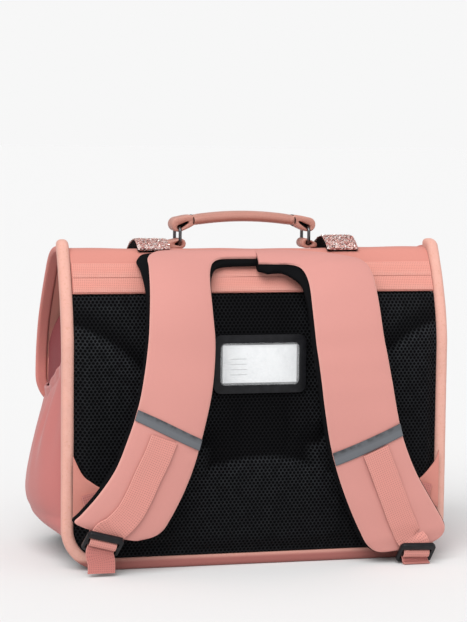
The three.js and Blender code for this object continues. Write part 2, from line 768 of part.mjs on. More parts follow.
// The room between the strap's face and the flap that it is sewn to, for the padding.
function roomBehind(point) {
  const nearest = flapSamples.reduce((best, sample) => (
    Math.min(best, Math.hypot(sample.y - point.y, sample.z - point.z))), Infinity);
  const sag = flapSag * (1 - (point.x / halfWidth) ** 2);
  return nearest + sag - leatherThickness - 3 * clearance;
}

// The padding's thickness: full on the straps, thin where the yoke meets the flap and at the tip.
function paddingAt(name, station, place) {
  const tip = strapOutline[name].length - 1 - station;
  const full = (paddingThickness - strapCrown * place * place) * mix(0.45, 1, ease(tip / 4));
  return clamp(roomBehind(strapPoint(name, station, place, 0)), thinnestPadding, full);
}

function makePadding(name) {
  const grid = (share) => strapOutline[name].map((_, station) => strapPlaces.map((place) => {
    const under = crownAt(place) - leatherThickness - clearance;
    return strapPoint(name, station, place, under - share * paddingAt(name, station, place));
  }));
  return sheet(grid(0), grid(1));
}

function strapGrid(name, lift) {
  return strapOutline[name].map((_, station) => strapPlaces.map((place) => (
    strapPoint(name, station, place, crownAt(place) + lift))));
}

const makeLeather = (name) => sheet(strapGrid(name, 0), strapGrid(name, -leatherThickness));

// A tape that crosses the strap's face.
function makeTape(name) {
  const { outerTop, outerEnd, innerTop, innerEnd } = strapFittings[name].tape;
  const grid = (lift) => [0, 1].map((edge) => strapPlaces.map((place) => {
    const share = (place + 1) / 2;
    const station = mix(mix(outerTop, outerEnd, edge), mix(innerTop, innerEnd, edge), share);
    return strapPoint(name, station, place, crownAt(place) + lift);
  }));
  const lift = 2 * clearance;
  return sheet(grid(lift + tapeThickness), grid(lift));
}

// The lock's frame: origin at its middle, x across, up along its height, out away from the back.
function lockFrame(name, sign) {
  const { x, z, turn, pitch, lift } = strapFittings[name].lock;
  const face = strapFaceAt(z * panelHeight);
  const matrix = new THREE.Matrix4().makeRotationY(THREE.MathUtils.degToRad(turn))
    .multiply(new THREE.Matrix4().makeRotationX(THREE.MathUtils.degToRad(90 + pitch)));
  const across = vector(1, 0, 0).applyMatrix4(matrix);
  const up = vector(0, 1, 0).applyMatrix4(matrix);
  const out = vector(0, 0, 1).applyMatrix4(matrix);
  const middle = vector(sign * x * halfWidth, face.y - lift, z * panelHeight)
    .addScaledVector(up, -lockHeight / 2);
  return { middle, across, up, out, matrix };
}

// A flat frame with two slots, a middle bar and a wide lip over its upper bar.
function makeLock(name, sign) {
  const shape = new THREE.Shape();
  const [w, h] = [lockWidth / 2, lockHeight / 2];
  const bevel = 2.5;
  shape.moveTo(-w + bevel, -h);
  shape.lineTo(w - bevel, -h);
  shape.lineTo(w, -h + bevel);
  shape.lineTo(w, h + lockLip - bevel);
  shape.lineTo(w - bevel, h + lockLip);
  shape.lineTo(-w + bevel, h + lockLip);
  shape.lineTo(-w, h + lockLip - bevel);
  shape.lineTo(-w, -h + bevel);
  shape.closePath();
  const slotHalf = w - lockBar + 1;
  for (const bottom of [-h + lockBar, h - lockBar - lockSlot]) {
    const slot = new THREE.Path();
    slot.moveTo(-slotHalf, bottom);
    slot.lineTo(-slotHalf, bottom + lockSlot);
    slot.lineTo(slotHalf, bottom + lockSlot);
    slot.lineTo(slotHalf, bottom);
    slot.closePath();
    shape.holes.push(slot);
  }
  const raw = new THREE.ExtrudeGeometry(shape, { depth: lockThickness, bevelEnabled: false });
  raw.deleteAttribute('normal');
  raw.deleteAttribute('uv');
  const geometry = mergeVertices(raw, 1e-4);
  geometry.translate(0, 0, -lockThickness / 2);
  const { matrix, middle } = lockFrame(name, sign);
  geometry.applyMatrix4(matrix);
  geometry.translate(middle.x, middle.y, middle.z);
  geometry.computeVertexNormals();
  return geometry;
}

// Points in the lock's own frame, up and out from the middle of a bar.
function lockPoints(name, sign, barMiddle, places) {
  const { middle, up, out } = lockFrame(name, sign);
  return places.map(([u, v]) => middle.clone()
    .addScaledVector(up, barMiddle + u).addScaledVector(out, v));
}

// A webbing along a path, its width kept as near as it can be to one guide direction per point.
function carryWebbing(path, guides) {
  const stations = path.map((point, i) => {
    const before = path[Math.max(i - 1, 0)];
    const after = path[Math.min(i + 1, path.length - 1)];
    const along = after.clone().sub(before).normalize();
    const out = vector(0, 0, 0).crossVectors(along, guides[i]).normalize();
    return { point, across: vector(0, 0, 0).crossVectors(out, along).normalize(), out };
  });
  return carry(flatSection(webbingWidth, webbingThickness), stations);
}

const webbingAway = lockThickness / 2 + 2 * clearance + webbingThickness / 2;
const slotMiddle = lockBar / 2 + lockSlot / 2;

// The webbing sewn on the strap runs off its tip, goes behind the lock's top bar and out through
// the upper slot, and ends on the middle bar.
function makeStrapWebbing(name, sign) {
  const onStrap = strapFittings[name].webbing.map(({ x, z }) => {
    const face = strapFaceAt(z * panelHeight);
    const lift = strapCrown + 3 * clearance + webbingThickness / 2;
    return vector(sign * x * halfWidth, face.y, z * panelHeight).addScaledVector(face.out, lift);
  });
  const bar = lockHeight / 2 - lockBar / 2;
  const overMiddle = lockBar + lockSlot;
  const round = lockPoints(name, sign, bar, [[-1, -webbingAway - 1.3],
    [-slotMiddle, -webbingAway * 0.4], [-slotMiddle, webbingAway * 0.4],
    [1.6 - overMiddle, webbingAway], [-0.8 - overMiddle, webbingAway]]);
  const path = [...onStrap, ...round];
  const { across } = lockFrame(name, sign);
  const guides = path.map((point, i) => {
    const along = path[Math.min(i + 1, path.length - 1)].clone().sub(path[Math.max(i - 1, 0)]);
    const square = vector(Math.abs(along.z), 0, along.x * Math.sign(-along.z)).normalize();
    return square.lerp(across, ease(i / onStrap.length)).normalize();
  });
  return carryWebbing(path, guides);
}

// The lower webbing comes from the corner wing, passes the lock's lower slot and ends in a tail
// that hangs over the bottom bar or lies on the ground.
function makeLowerWebbing(name, sign) {
  const { tail, rear } = strapFittings[name];
  const bar = -lockHeight / 2 + lockBar / 2;
  const y = backFace - padRelief - wingThickness - 2 * clearance - webbingThickness / 2;
  const start = [
    vector(sign * 0.845 * halfWidth, y, 0.250 * panelHeight),
    vector(sign * 0.818 * halfWidth, y - 2.5, 0.185 * panelHeight),
  ];
  const through = lockPoints(name, sign, bar, [
    ...rear, [slotMiddle, -webbingAway * 0.4], [slotMiddle, webbingAway * 0.4],
    ...(tail.overBar ? [[1.6, webbingAway + 0.2]] : [])]);
  const end = tail.path.map(({ depth, height }) => (
    vector(sign * tail.x * halfWidth, backFace + depth * bagDepth, height * panelHeight)));
  const { across } = lockFrame(name, sign);
  const level = vector(1, 0, 0);
  return carryWebbing([...start, ...through, ...end],
    [...start.map(() => level), ...through.map(() => across), ...end.map(() => level)]);
}

// The wing: a three-cornered patch from the bound side edge over the mesh's lower corner.
function makeWing(name, sign) {
  const y = backFace - padRelief - clearance;
  const ring = (lift) => strapFittings[name].wing.map(([x, z]) => (
    vector(sign * x * halfWidth, y - lift, z * panelHeight)));
  return loft([ring(0), ring(wingThickness)]);
}

for (const { name, sign } of sides) {
  add(`shoulder_strap_${name}`, makeLeather(name), pinkLeather);
  add(`strap_padding_${name}`, makePadding(name), blackCloth);
  add(`strap_reflector_${name}`, makeTape(name), greyTape);
  add(`strap_webbing_${name}`, makeStrapWebbing(name, sign), pinkCloth);
  add(`ladder_lock_${name}`, makeLock(name, sign), blackPlastic);
  add(`lower_webbing_${name}`, makeLowerWebbing(name, sign), deepPink);
  add(`corner_wing_${name}`, makeWing(name, sign), pinkCloth);
}

// Card pocket on the mesh: a raised frame round a clear window, with a plain card behind it

function roundedRectangle(width, height, radius, Kind = THREE.Shape) {
  const outline = new Kind();
  const [w, h] = [width / 2, height / 2];
  outline.moveTo(-w + radius, -h);
  outline.lineTo(w - radius, -h);
  outline.absarc(w - radius, -h + radius, radius, -Math.PI / 2, 0);
  outline.lineTo(w, h - radius);
  outline.absarc(w - radius, h - radius, radius, 0, Math.PI / 2);
  outline.lineTo(-w + radius, h);
  outline.absarc(-w + radius, h - radius, radius, Math.PI / 2, Math.PI);
  outline.lineTo(-w, -h + radius);
  outline.absarc(-w + radius, -h + radius, radius, Math.PI, Math.PI * 1.5);
  return outline;
}

// A flat plate that stands on the back, its foot a given distance off the back's face.
function backPlate(shape, thickness, foot) {
  const raw = new THREE.ExtrudeGeometry(shape, { depth: thickness, bevelEnabled: false, curveSegments: 3 });
  raw.deleteAttribute('normal');
  raw.deleteAttribute('uv');
  const geometry = mergeVertices(raw, 1e-4);
  geometry.rotateX(Math.PI / 2);
  geometry.translate(0, backFace - foot, frameMiddle);
  geometry.computeVertexNormals();
  return geometry;
}

const frameShape = roundedRectangle(frameWidth, frameHeight, 7);
frameShape.holes.push(roundedRectangle(windowWidth, windowHeight, 6, THREE.Path));
add('card_frame', backPlate(frameShape, frameThickness, clearance), blackPlastic);
add('card', backPlate(roundedRectangle(cardWidth, cardHeight, 4), cardThickness, clearance), plainCard);
add('card_window',
  backPlate(roundedRectangle(windowWidth - 2 * clearance, windowHeight - 2 * clearance, 5),
    filmThickness, 2 * clearance + cardThickness), clearFilm);

// Glitter straps: from the yoke over the top and down the flap to a clasp, on a black backing that
// stands high where the handle is anchored

function glitterLine(x, baseLift, archShare) {
  const start = flapOver(backFace + topLean + 4).distance;
  const archTop = flapOver(backFace + 0.34 * bagDepth).distance;
  const flat = flapOver(backFace + 0.6 * bagDepth).distance;
  const over = flapLength + tongueLength;
  const rows = flapDistances(flapEdgeWidth + clearance);
  const middle = [...rows, archTop].filter((value) => value > start + 1).sort((a, b) => a - b);
  return [start, ...middle, flapLength, over].map((distance) => {
    const { point, out } = flapAt(distance, x);
    const rise = ease((distance - start) / (archTop - start));
    const arch = archHeight * archShare * rise * ease((flat - distance) / (flat - archTop));
    return { point: point.addScaledVector(out, baseLift + arch), out };
  });
}

// A layer between two lifts above the flap, carried along the strap's line.
function makeGlitterLayer(sign, low, high) {
  const rows = [low, high].map(({ lift, arch }) => [-1, 1].map((edge) => {
    const x = sign * glitterMiddle + edge * glitterWidth / 2;
    return glitterLine(x, lift, arch).map(({ point }) => vector(x, point.y, point.z));
  }));
  const [lowEdges, highEdges] = rows;
  const grid = ([a, b]) => a.map((point, i) => [point, b[i]]);
  return sheet(grid(highEdges), grid(lowEdges));
}

for (const { name, sign } of sides) {
  const foot = 1.5 * clearance;
  const middle = foot + backingThickness;
  add(`glitter_backing_${name}`,
    makeGlitterLayer(sign, { lift: foot, arch: 0 }, { lift: middle, arch: 1 }), blackCloth);
  add(`glitter_strap_${name}`,
    makeGlitterLayer(sign, { lift: middle + clearance, arch: 1 },
      { lift: middle + clearance + glitterThickness, arch: 1 }), glitter);
}

// Clasps on the body's front, under the straps' tongues
for (const { name, sign } of sides) {
  const lip = flapAt(flapLength + tongueLength, glitterMiddle).point;
  const face = Math.min(lip.y, flapAt(flapLength, glitterMiddle).point.y) - 2 * clearance;
  const depth = face - bodyFront - 2 * clearance;
  const top = lip.z + tongueLength - 4;
  const section = softSection(claspWidth, depth, 0.25);
  const stations = [0, claspHeight].map((drop) => ({
    point: vector(sign * glitterMiddle, bodyFront + clearance + depth / 2, top - drop),
    across: vector(1, 0, 0),
    out: vector(0, 1, 0),
  }));
  add(`clasp_${name}`, carry(section, stations), darkMetal);
}

// Carrying handle: a padded grip between leather loops, which hang in rings held by short anchors

const anchorFoot = flapAt(flapOver(ringMiddleY - loopWidth / 2).distance, ringMiddleX).point.z;
const ringFoot = anchorFoot + loopThickness + 3 * clearance;
const ringTop = ringFoot + ringHeight;

function makeRing(sign) {
  const [w, h] = [(ringDepth - ringWire) / 2, (ringHeight - ringWire) / 2];
  const bend = 4;
  const corners = [[1, -1, -90], [1, 1, 0], [-1, 1, 90], [-1, -1, 180]];
  const path = corners.flatMap(([u, v, start]) => steps(3).map((share) => {
    const turn = THREE.MathUtils.degToRad(start + 90 * share);
    return vector(sign * ringMiddleX,
      ringMiddleY + u * (w - bend) + bend * Math.cos(turn),
      ringFoot + ringHeight / 2 + v * (h - bend) + bend * Math.sin(turn));
  }));
  return carry(roundSection(ringWire, ringWire, 6), bandStations(path, vector(1, 0, 0), true), true);
}

// A leather band in the plane across the bag: two strands that end at x and meet round a bar.
function makeLoop(sign, endX, endTop, endFoot, barZ, swing, opening) {
  const reach = ringMiddleX + swing * (ringWire / 2 + clearance * 2 + loopThickness / 2);
  const strand = opening / 2 + loopThickness / 2;
  const round = steps(6).map((share) => {
    const turn = (0.5 - share) * Math.PI;
    return vector(sign * (reach + swing * strand * Math.cos(turn) * 0.9), ringMiddleY,
      barZ + strand * Math.sin(turn));
  });
  const before = ringMiddleX - swing * ringWire;
  const path = [
    vector(sign * endX, ringMiddleY, endTop),
    vector(sign * before, ringMiddleY, barZ + strand),
    ...round,
    vector(sign * before, ringMiddleY, barZ - strand),
    vector(sign * endX, ringMiddleY, endFoot),
  ];
  return carry(flatSection(loopWidth, loopThickness), bandStations(path, vector(0, 1, 0)));
}

const gripEnd = gripLength / 2;
const upperBar = ringTop - ringWire / 2;
const lowerBar = ringFoot + ringWire / 2;
const loopOpening = ringWire + 2 * clearance + 1.2;
const gripMiddle = upperBar + gripAboveBar;
for (const { name, sign } of sides) {
  const strand = gripHeight / 2 - loopThickness / 2;
  add(`handle_ring_${name}`, makeRing(sign), darkMetal);
  add(`handle_loop_${name}`,
    makeLoop(sign, gripEnd + 4 * clearance, gripMiddle + strand, gripMiddle - strand, upperBar + 1.4, 1,
      loopOpening + 2.4), pinkLeather);
  const anchorEnd = glitterMiddle - glitterWidth / 2 - clearance;
  add(`ring_anchor_${name}`,
    makeLoop(sign, anchorEnd, lowerBar + loopOpening / 2 + loopThickness / 2,
      lowerBar - loopOpening / 2 - loopThickness / 2, lowerBar, -1, loopOpening), pinkLeather);
}

function makeGrip() {
  const path = steps(8).map((share) => {
    const x = mix(-gripEnd, gripEnd, share);
    return vector(x, ringMiddleY, gripMiddle + gripRise * (1 - (x / gripEnd) ** 2));
  });
  return carry(roundSection(gripWidth, gripHeight, 12), bandStations(path, vector(0, 1, 0)));
}

add('handle_grip', makeGrip(), pinkLeather);

export default satchel;
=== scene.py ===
# %% [markdown]
# A school satchel seen from its strap side, dressed over a measured CAD model. The CAD model fixes
# every size and place, so each piece here only adds what a CAD solid lacks: soft edges, folds and
# cloth. We work in millimetres and turn them into Blender's metres at the last moment.

# %% Load the CAD model
import math

import bpy
import numpy as np
from mathutils import Matrix, Vector
from mathutils.bvhtree import BVHTree


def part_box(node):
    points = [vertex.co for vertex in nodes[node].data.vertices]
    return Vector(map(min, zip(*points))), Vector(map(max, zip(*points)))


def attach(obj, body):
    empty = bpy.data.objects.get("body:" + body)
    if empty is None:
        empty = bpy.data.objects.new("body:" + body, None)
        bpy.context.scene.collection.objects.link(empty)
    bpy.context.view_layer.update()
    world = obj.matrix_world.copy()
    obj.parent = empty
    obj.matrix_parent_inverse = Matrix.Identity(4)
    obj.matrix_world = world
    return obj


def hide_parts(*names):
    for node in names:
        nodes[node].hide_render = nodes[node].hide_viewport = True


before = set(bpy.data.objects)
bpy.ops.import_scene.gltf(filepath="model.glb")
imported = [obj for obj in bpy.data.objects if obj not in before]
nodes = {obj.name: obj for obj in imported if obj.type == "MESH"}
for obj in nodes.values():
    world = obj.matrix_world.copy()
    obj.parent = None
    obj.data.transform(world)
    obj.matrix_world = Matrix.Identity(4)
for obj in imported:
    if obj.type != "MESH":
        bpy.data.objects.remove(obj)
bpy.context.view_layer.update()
MM = 0.001
print("CAD nodes:", len(nodes))

# %% [markdown]
# The camera comes first. The photograph was taken from a little left of the middle and slightly above
# the handle. A long lens from two metres away gives its mild perspective. We build the camera's
# matrix from its three directions, so that the small roll of the photograph is part of it.

# %% Camera
aim = Vector((0.2409, 0.9662, -0.0913)).normalized()
side = aim.cross(Vector((0, 0, 1))).normalized()
roll = math.radians(0.6)
up = side.cross(aim)
side, up = side * math.cos(roll) + up * math.sin(roll), up * math.cos(roll) - side * math.sin(roll)
turned = Matrix((side, up, -aim)).transposed().to_4x4()
camera_data = bpy.data.cameras.new("camera")
camera_data.sensor_fit = "VERTICAL"
camera_data.sensor_height = 36
camera_data.lens = 111.4
camera = bpy.data.objects.new("camera", camera_data)
camera.matrix_world = Matrix.Translation((-0.4661, -1.8543, 0.4115)) @ turned
bpy.context.scene.collection.objects.link(camera)
bpy.context.scene.camera = camera
print("camera at", tuple(round(v, 3) for v in camera.location))

# %% [markdown]
# A product studio is mostly white light from all round: a pale floor that runs into a white world, one
# big soft lamp above on the left, and a weaker one on the right that keeps the shadows open.

# %% Studio
world = bpy.data.worlds.new("studio")
bpy.context.scene.world = world
world.use_nodes = True
backdrop = world.node_tree.nodes["Background"]
backdrop.inputs["Color"].default_value = (1, 1, 1, 1)
seen = world.node_tree.nodes.new("ShaderNodeLightPath")
strength = world.node_tree.nodes.new("ShaderNodeMath")
strength.operation = "MULTIPLY_ADD"
strength.inputs[1].default_value, strength.inputs[2].default_value = 0.38, 0.55
world.node_tree.links.new(seen.outputs["Is Camera Ray"], strength.inputs[0])
world.node_tree.links.new(strength.outputs[0], backdrop.inputs["Strength"])
bpy.context.scene.view_settings.view_transform = "Standard"


def add_sun(name, direction, spread, strength):
    data = bpy.data.lights.new(name, "SUN")
    data.angle, data.energy = math.radians(spread), strength
    lamp = bpy.data.objects.new(name, data)
    lamp.rotation_euler = Vector(direction).to_track_quat("-Z", "Y").to_euler()
    bpy.context.scene.collection.objects.link(lamp)
    return lamp


add_sun("key", (0.62, 1.05, -1.35), 48, 2.6)
add_sun("fill", (-1.1, 0.9, -0.5), 70, 0.4)

# %% [markdown]
# Small tools for curves. A row of given numbers becomes a smooth curve through them, the
# way a flexible ruler does, so short tables are enough to describe long soft shapes.

# %% Curve helpers


def ease(value):
    t = np.clip(value, 0, 1)
    return t * t * (3 - 2 * t)


def bump_at(value, centre, width):
    return np.exp(-(((np.asarray(value, float) - centre) / width) ** 2))


def through(xs, ys):
    """A smooth curve through the points (xs, ys), with xs rising."""
    xs, ys = np.asarray(xs, float), np.asarray(ys, float)
    slopes = np.gradient(ys, xs)

    def value(x):
        x = np.clip(np.asarray(x, float), xs[0], xs[-1])
        i = np.clip(np.searchsorted(xs, x) - 1, 0, len(xs) - 2)
        h = xs[i + 1] - xs[i]
        t = (x - xs[i]) / h
        a, b = 2 * t**3 - 3 * t**2 + 1, t**3 - 2 * t**2 + t
        return a * ys[i] + b * h * slopes[i] + (1 - a) * ys[i + 1] + (t**3 - t**2) * h * slopes[i + 1]

    return value


def unit(vectors):
    vectors = np.asarray(vectors, float)
    return vectors / np.maximum(np.linalg.norm(vectors, axis=-1, keepdims=True), 1e-9)


def waves(u, v, seed, count=6, finest=1.0):
    """A soft random swell between about -1 and 1, the same every time for one seed."""
    rng = np.random.default_rng(seed)
    total = 0
    for i in range(count):
        turn, phase = rng.uniform(0, 2 * np.pi, 2)
        pitch = finest * (1.0 + 1.6 * i)
        total = total + np.sin((u * np.cos(turn) + v * np.sin(turn)) * 2 * np.pi / pitch + phase)
    return total / count**0.5


# %% [markdown]
# Almost every soft piece is a skin: a grid of points, rolled up across so that it closes into a
# strap, a tape or a panel with a front, a back and round edges. The grid gives clean rows of quads,
# and texture coordinates measured in metres along and across, so a weave has its true scale and
# follows the strap round its curves.

# %% Skins


def build_mesh(name, points, faces, uv, wear_and_highlight=None):
    mesh = bpy.data.meshes.new(name)
    mesh.from_pydata((np.asarray(points) * MM).tolist(), [], faces)
    layer = mesh.uv_layers.new(name="cloth")
    layer.data.foreach_set("uv", np.asarray(uv, np.float32).ravel())
    if wear_and_highlight is not None:
        mesh.attributes.new("wear_and_highlight", "FLOAT", "POINT").data.foreach_set(
            "value", np.asarray(wear_and_highlight, np.float32).ravel())
    mesh.validate()
    mesh.shade_smooth()
    mesh.set_sharp_from_angle(angle=math.radians(50))
    piece = bpy.data.objects.new(name, mesh)
    bpy.context.scene.collection.objects.link(piece)
    return piece


def skin(name, grid, across_closed=True, along_closed=False, wear_and_highlight=None):
    """A grid of points, rows along and columns across, as one smooth piece."""
    grid = np.asarray(grid, float)
    rows, columns = grid.shape[:2]
    step_v = np.linalg.norm(np.roll(grid, -1, 0) - grid, axis=2).mean(1)
    step_u = np.linalg.norm(np.roll(grid, -1, 1) - grid, axis=2).mean(0)
    v = np.concatenate([[0], np.cumsum(step_v)]) * MM
    u = np.concatenate([[0], np.cumsum(step_u)]) * MM
    faces, uv = [], []
    for i in range(rows if along_closed else rows - 1):
        for j in range(columns if across_closed else columns - 1):
            near, far = i * columns, (i + 1) % rows * columns
            k = (j + 1) % columns
            faces.append((near + j, near + k, far + k, far + j))
            uv += [(u[j], v[i]), (u[j + 1], v[i]), (u[j + 1], v[i + 1]), (u[j], v[i + 1])]
    if across_closed and not along_closed:
        for row, order in ((0, -1), (rows - 1, 1)):
            ring = list(range(row * columns, (row + 1) * columns))[::order]
            faces.append(ring)
            uv += [(u[index % columns], v[row]) for index in ring]
    piece = build_mesh(name, grid.reshape(-1, 3), faces, uv, wear_and_highlight)
    if across_closed:
        outward(piece)
    return piece


def outward(piece):
    """Turns the faces of a closed piece so that they point out."""
    mesh = piece.data
    mesh.calc_loop_triangles()
    co = np.array([v.co for v in mesh.vertices])
    tri = np.array([t.vertices for t in mesh.loop_triangles])
    a, b, c = co[tri[:, 0]], co[tri[:, 1]], co[tri[:, 2]]
    if np.einsum("ij,ij->i", a, np.cross(b, c)).sum() < 0:
        mesh.flip_normals()


def rounded_section(width, thickness, radius=None, columns=10, corner=4):
    """The outline of a flat bar with round edges, as (across, lift) pairs."""
    radius = min(width, thickness) / 2 * 0.98 if radius is None else radius
    w, t = width / 2 - radius, thickness / 2 - radius
    points = []
    for sign_u, sign_v, start in ((1, 1, 0), (-1, 1, 90), (-1, -1, 180), (1, -1, 270)):
        for turn in np.radians(np.linspace(start, start + 90, corner + 1)):
            points.append((sign_u * w + radius * np.cos(turn), sign_v * t + radius * np.sin(turn)))
        if sign_u == sign_v:
            inner = np.linspace(sign_u * w, -sign_u * w, columns + 2)[1:-1]
            points += [(x, sign_v * thickness / 2) for x in inner]
    return np.array(points)


def sweep(name, path, across, section, closed=False, wear_and_highlight=None):
    """Carries a section along a path. across gives the direction of the section's width."""
    path = np.asarray(path, float)
    across = np.broadcast_to(np.asarray(across, float), path.shape)
    if closed:
        along = unit(np.roll(path, -1, 0) - np.roll(path, 1, 0))
    else:
        along = unit(np.gradient(path, axis=0))
    out = unit(np.cross(along, across))
    flat = unit(np.cross(out, along))
    section = np.asarray(section)
    if section.ndim == 2:
        section = np.broadcast_to(section, (len(path), *section.shape))
    grid = (path[:, None] + flat[:, None] * section[..., :1] + out[:, None] * section[..., 1:])
    return skin(name, grid, True, closed, wear_and_highlight)


def smooth_path(points, count):
    """Evenly spaced points on a smooth curve through a few."""
    points = np.asarray(points, float)
    chord = np.concatenate([[0], np.cumsum(np.linalg.norm(np.diff(points, axis=0), axis=1))])
    fine = np.linspace(0, chord[-1], 600)
    curve = np.stack([through(chord, points[:, k])(fine) for k in range(3)], 1)
    length = np.concatenate([[0], np.cumsum(np.linalg.norm(np.diff(curve, axis=0), axis=1))])
    return np.stack([np.interp(np.linspace(0, length[-1], count), length, curve[:, k]) for k in range(3)], 1)


print("curve and skin helpers ready")

# %% [markdown]
# A stitch is a short loop of thread that dips into the cloth at both ends. This helper makes each one as a
# tiny bent tube and joins a whole seam into one mesh, because thousands of separate objects would be
# slow; nothing in this script calls it. The thread sits a little above the cloth, on the surface's own normal.

# %% Stitches


def stitch_mesh(name, runs, length=3.2, gap=1.1, thread=0.75):
    """Each run is (points, normals) along a seam, both as arrays."""
    points, faces = [], []
    for path, normals in runs:
        path, normals = np.asarray(path, float), unit(normals)
        reach = np.concatenate([[0], np.cumsum(np.linalg.norm(np.diff(path, axis=0), axis=1))])
        for start in np.arange(gap, reach[-1] - length, length + gap):
            stops = start + np.array([0, 0.22, 0.78, 1]) * length
            centre = np.stack([np.interp(stops, reach, path[:, k]) for k in range(3)], 1)
            normal = unit(np.stack([np.interp(stops, reach, normals[:, k]) for k in range(3)], 1))
            along = unit(centre[-1] - centre[0])
            flat = unit(np.cross(normal, along))
            centre = centre + normal * (np.array([-0.25, 0.3, 0.3, -0.25]) * thread)[:, None]
            base = len(points)
            for ring in range(4):
                for turn in np.arange(6) * np.pi / 3:
                    spread = flat[ring] * np.cos(turn) * 0.5 + normal[ring] * np.sin(turn) * 0.42
                    points.append(centre[ring] + spread * thread)
            for ring in range(3):
                for k in range(6):
                    a, b = base + ring * 6 + k, base + ring * 6 + (k + 1) % 6
                    faces.append((a, b, b + 6, a + 6))
            faces.append(tuple(range(base + 5, base - 1, -1)))
            faces.append(tuple(range(base + 18, base + 24)))
    uv = np.zeros((sum(len(f) for f in faces), 2))
    piece = build_mesh(name, points, faces, uv)
    print(name, "stitches:", len(faces) // 20)
    return piece


# %% [markdown]
# Materials share a few effects, and each effect is one shader node group. A group only works out
# numbers that change over the surface: a height for bump, a mask or a colour. The shader itself
# stays in the material, where its plain settings can be read by other programs.

# %% Node tools


def srgb(red, green, blue):
    """A colour read off a screen, 0 to 255, as the linear colour that Blender works in."""
    return tuple(
        (c / 255 / 12.92) if c <= 10 else (((c / 255 + 0.055) / 1.055) ** 2.4) for c in (red, green, blue)
    ) + (1,)


class Tree:
    """A short way to add nodes and wire them: values become defaults, sockets become links."""

    def __init__(self, tree):
        self.tree = tree

    def node(self, kind, settings=None, **inputs):
        made = self.tree.nodes.new(kind)
        for key, value in (settings or {}).items():
            setattr(made, key, value)
        for key, value in inputs.items():
            name = int(key[1:]) if key[1:].isdigit() else key.replace("_", " ")
            self.put(made.inputs[name], value)
        return made

    def put(self, socket, value):
        if isinstance(value, bpy.types.NodeSocket):
            self.tree.links.new(value, socket)
        else:
            socket.default_value = value

    def math(self, operation, first, second=0.0, third=None):
        inputs = {"i0": first, "i1": second}
        if third is not None:
            inputs["i2"] = third
        return self.node("ShaderNodeMath", {"operation": operation}, **inputs).outputs[0]

    def vector(self, operation, first, second=(0, 0, 0)):
        made = self.node("ShaderNodeVectorMath", {"operation": operation}, i0=first, i1=second)
        return made.outputs["Value" if operation in ("LENGTH", "DOT_PRODUCT") else "Vector"]

    def ramp(self, value, low, high, to_low=0.0, to_high=1.0, smooth=True):
        settings = {"interpolation_type": "SMOOTHSTEP" if smooth else "LINEAR"}
        return self.node("ShaderNodeMapRange", settings, Value=value, From_Min=low, From_Max=high,
                         To_Min=to_low, To_Max=to_high).outputs[0]

    def mix(self, factor, first, second):
        made = self.node("ShaderNodeMix", {"data_type": "RGBA"})
        self.put(made.inputs[0], factor)
        self.put(made.inputs[6], first)
        self.put(made.inputs[7], second)
        return made.outputs[2]


def new_group(name, inputs, outputs):
    """An empty node group with named sockets, as (name, kind, default) rows."""
    group = bpy.data.node_groups.new(name, "ShaderNodeTree")
    for direction, rows in (("INPUT", inputs), ("OUTPUT", outputs)):
        for label, kind, *default in rows:
            socket = group.interface.new_socket(name=label, in_out=direction, socket_type="NodeSocket" + kind)
            if default:
                socket.default_value = default[0]
    tree = Tree(group)
    return group, tree, tree.node("NodeGroupInput"), tree.node("NodeGroupOutput")


# %% [markdown]
# Plain weave: threads go over and under each other in turn. Two sine waves, one for each direction,
# multiplied together give that chequer of small hills. A little noise keeps the threads uneven.

# %% Group: weave
weave, t, given, result = new_group(
    "weave",
    [("Vector", "Vector"), ("Threads", "Float", 1600.0), ("Unevenness", "Float", 0.3)],
    [("Height", "Float"), ("Shade", "Float")],
)
parts = t.node("ShaderNodeSeparateXYZ", i0=given.outputs["Vector"])
wobble = t.node("ShaderNodeTexNoise", Vector=given.outputs["Vector"], Scale=260.0, Detail=2.0).outputs[0]
wobble = t.math("MULTIPLY", t.math("SUBTRACT", wobble, 0.5), given.outputs["Unevenness"])
turns = t.math("MULTIPLY", given.outputs["Threads"], math.pi)
warp = t.math("SINE", t.math("ADD", t.math("MULTIPLY", parts.outputs[0], turns), wobble))
weft = t.math("SINE", t.math("ADD", t.math("MULTIPLY", parts.outputs[1], turns), wobble))
height = t.math("MULTIPLY_ADD", t.math("MULTIPLY", warp, weft), 0.5, 0.5)
t.put(result.inputs["Height"], height)
t.put(result.inputs["Shade"], t.math("ADD", t.math("MULTIPLY", height, 0.7), wobble))

# %% [markdown]
# Ribbed webbing has strong ridges across its length, and each ridge is cut into short floats.

# %% Group: ribs
ribs, t, given, result = new_group(
    "ribs",
    [("Vector", "Vector"), ("Ribs", "Float", 500.0), ("Floats", "Float", 700.0)],
    [("Height", "Float"), ("Groove", "Float")],
)
parts = t.node("ShaderNodeSeparateXYZ", i0=given.outputs["Vector"])
ridge = t.math("SINE", t.math("MULTIPLY", parts.outputs[1], t.math("MULTIPLY", given.outputs["Ribs"], math.pi)))
floats = t.math("SINE", t.math("MULTIPLY", parts.outputs[0], t.math("MULTIPLY", given.outputs["Floats"], math.pi)))
ridge, floats = t.math("ABSOLUTE", ridge), t.math("ABSOLUTE", floats)
height = t.math("ADD", t.math("MULTIPLY", ridge, 0.5), t.math("MULTIPLY", floats, 0.5))
t.put(result.inputs["Height"], height)
t.put(result.inputs["Groove"], t.ramp(height, 0.55, 0.15))

# %% [markdown]
# Spacer mesh has rows of six-sided holes, each row shifted by half a step. Measuring the distance to
# the nearest centre in two shifted grids, and keeping the smaller, gives exactly that pattern.

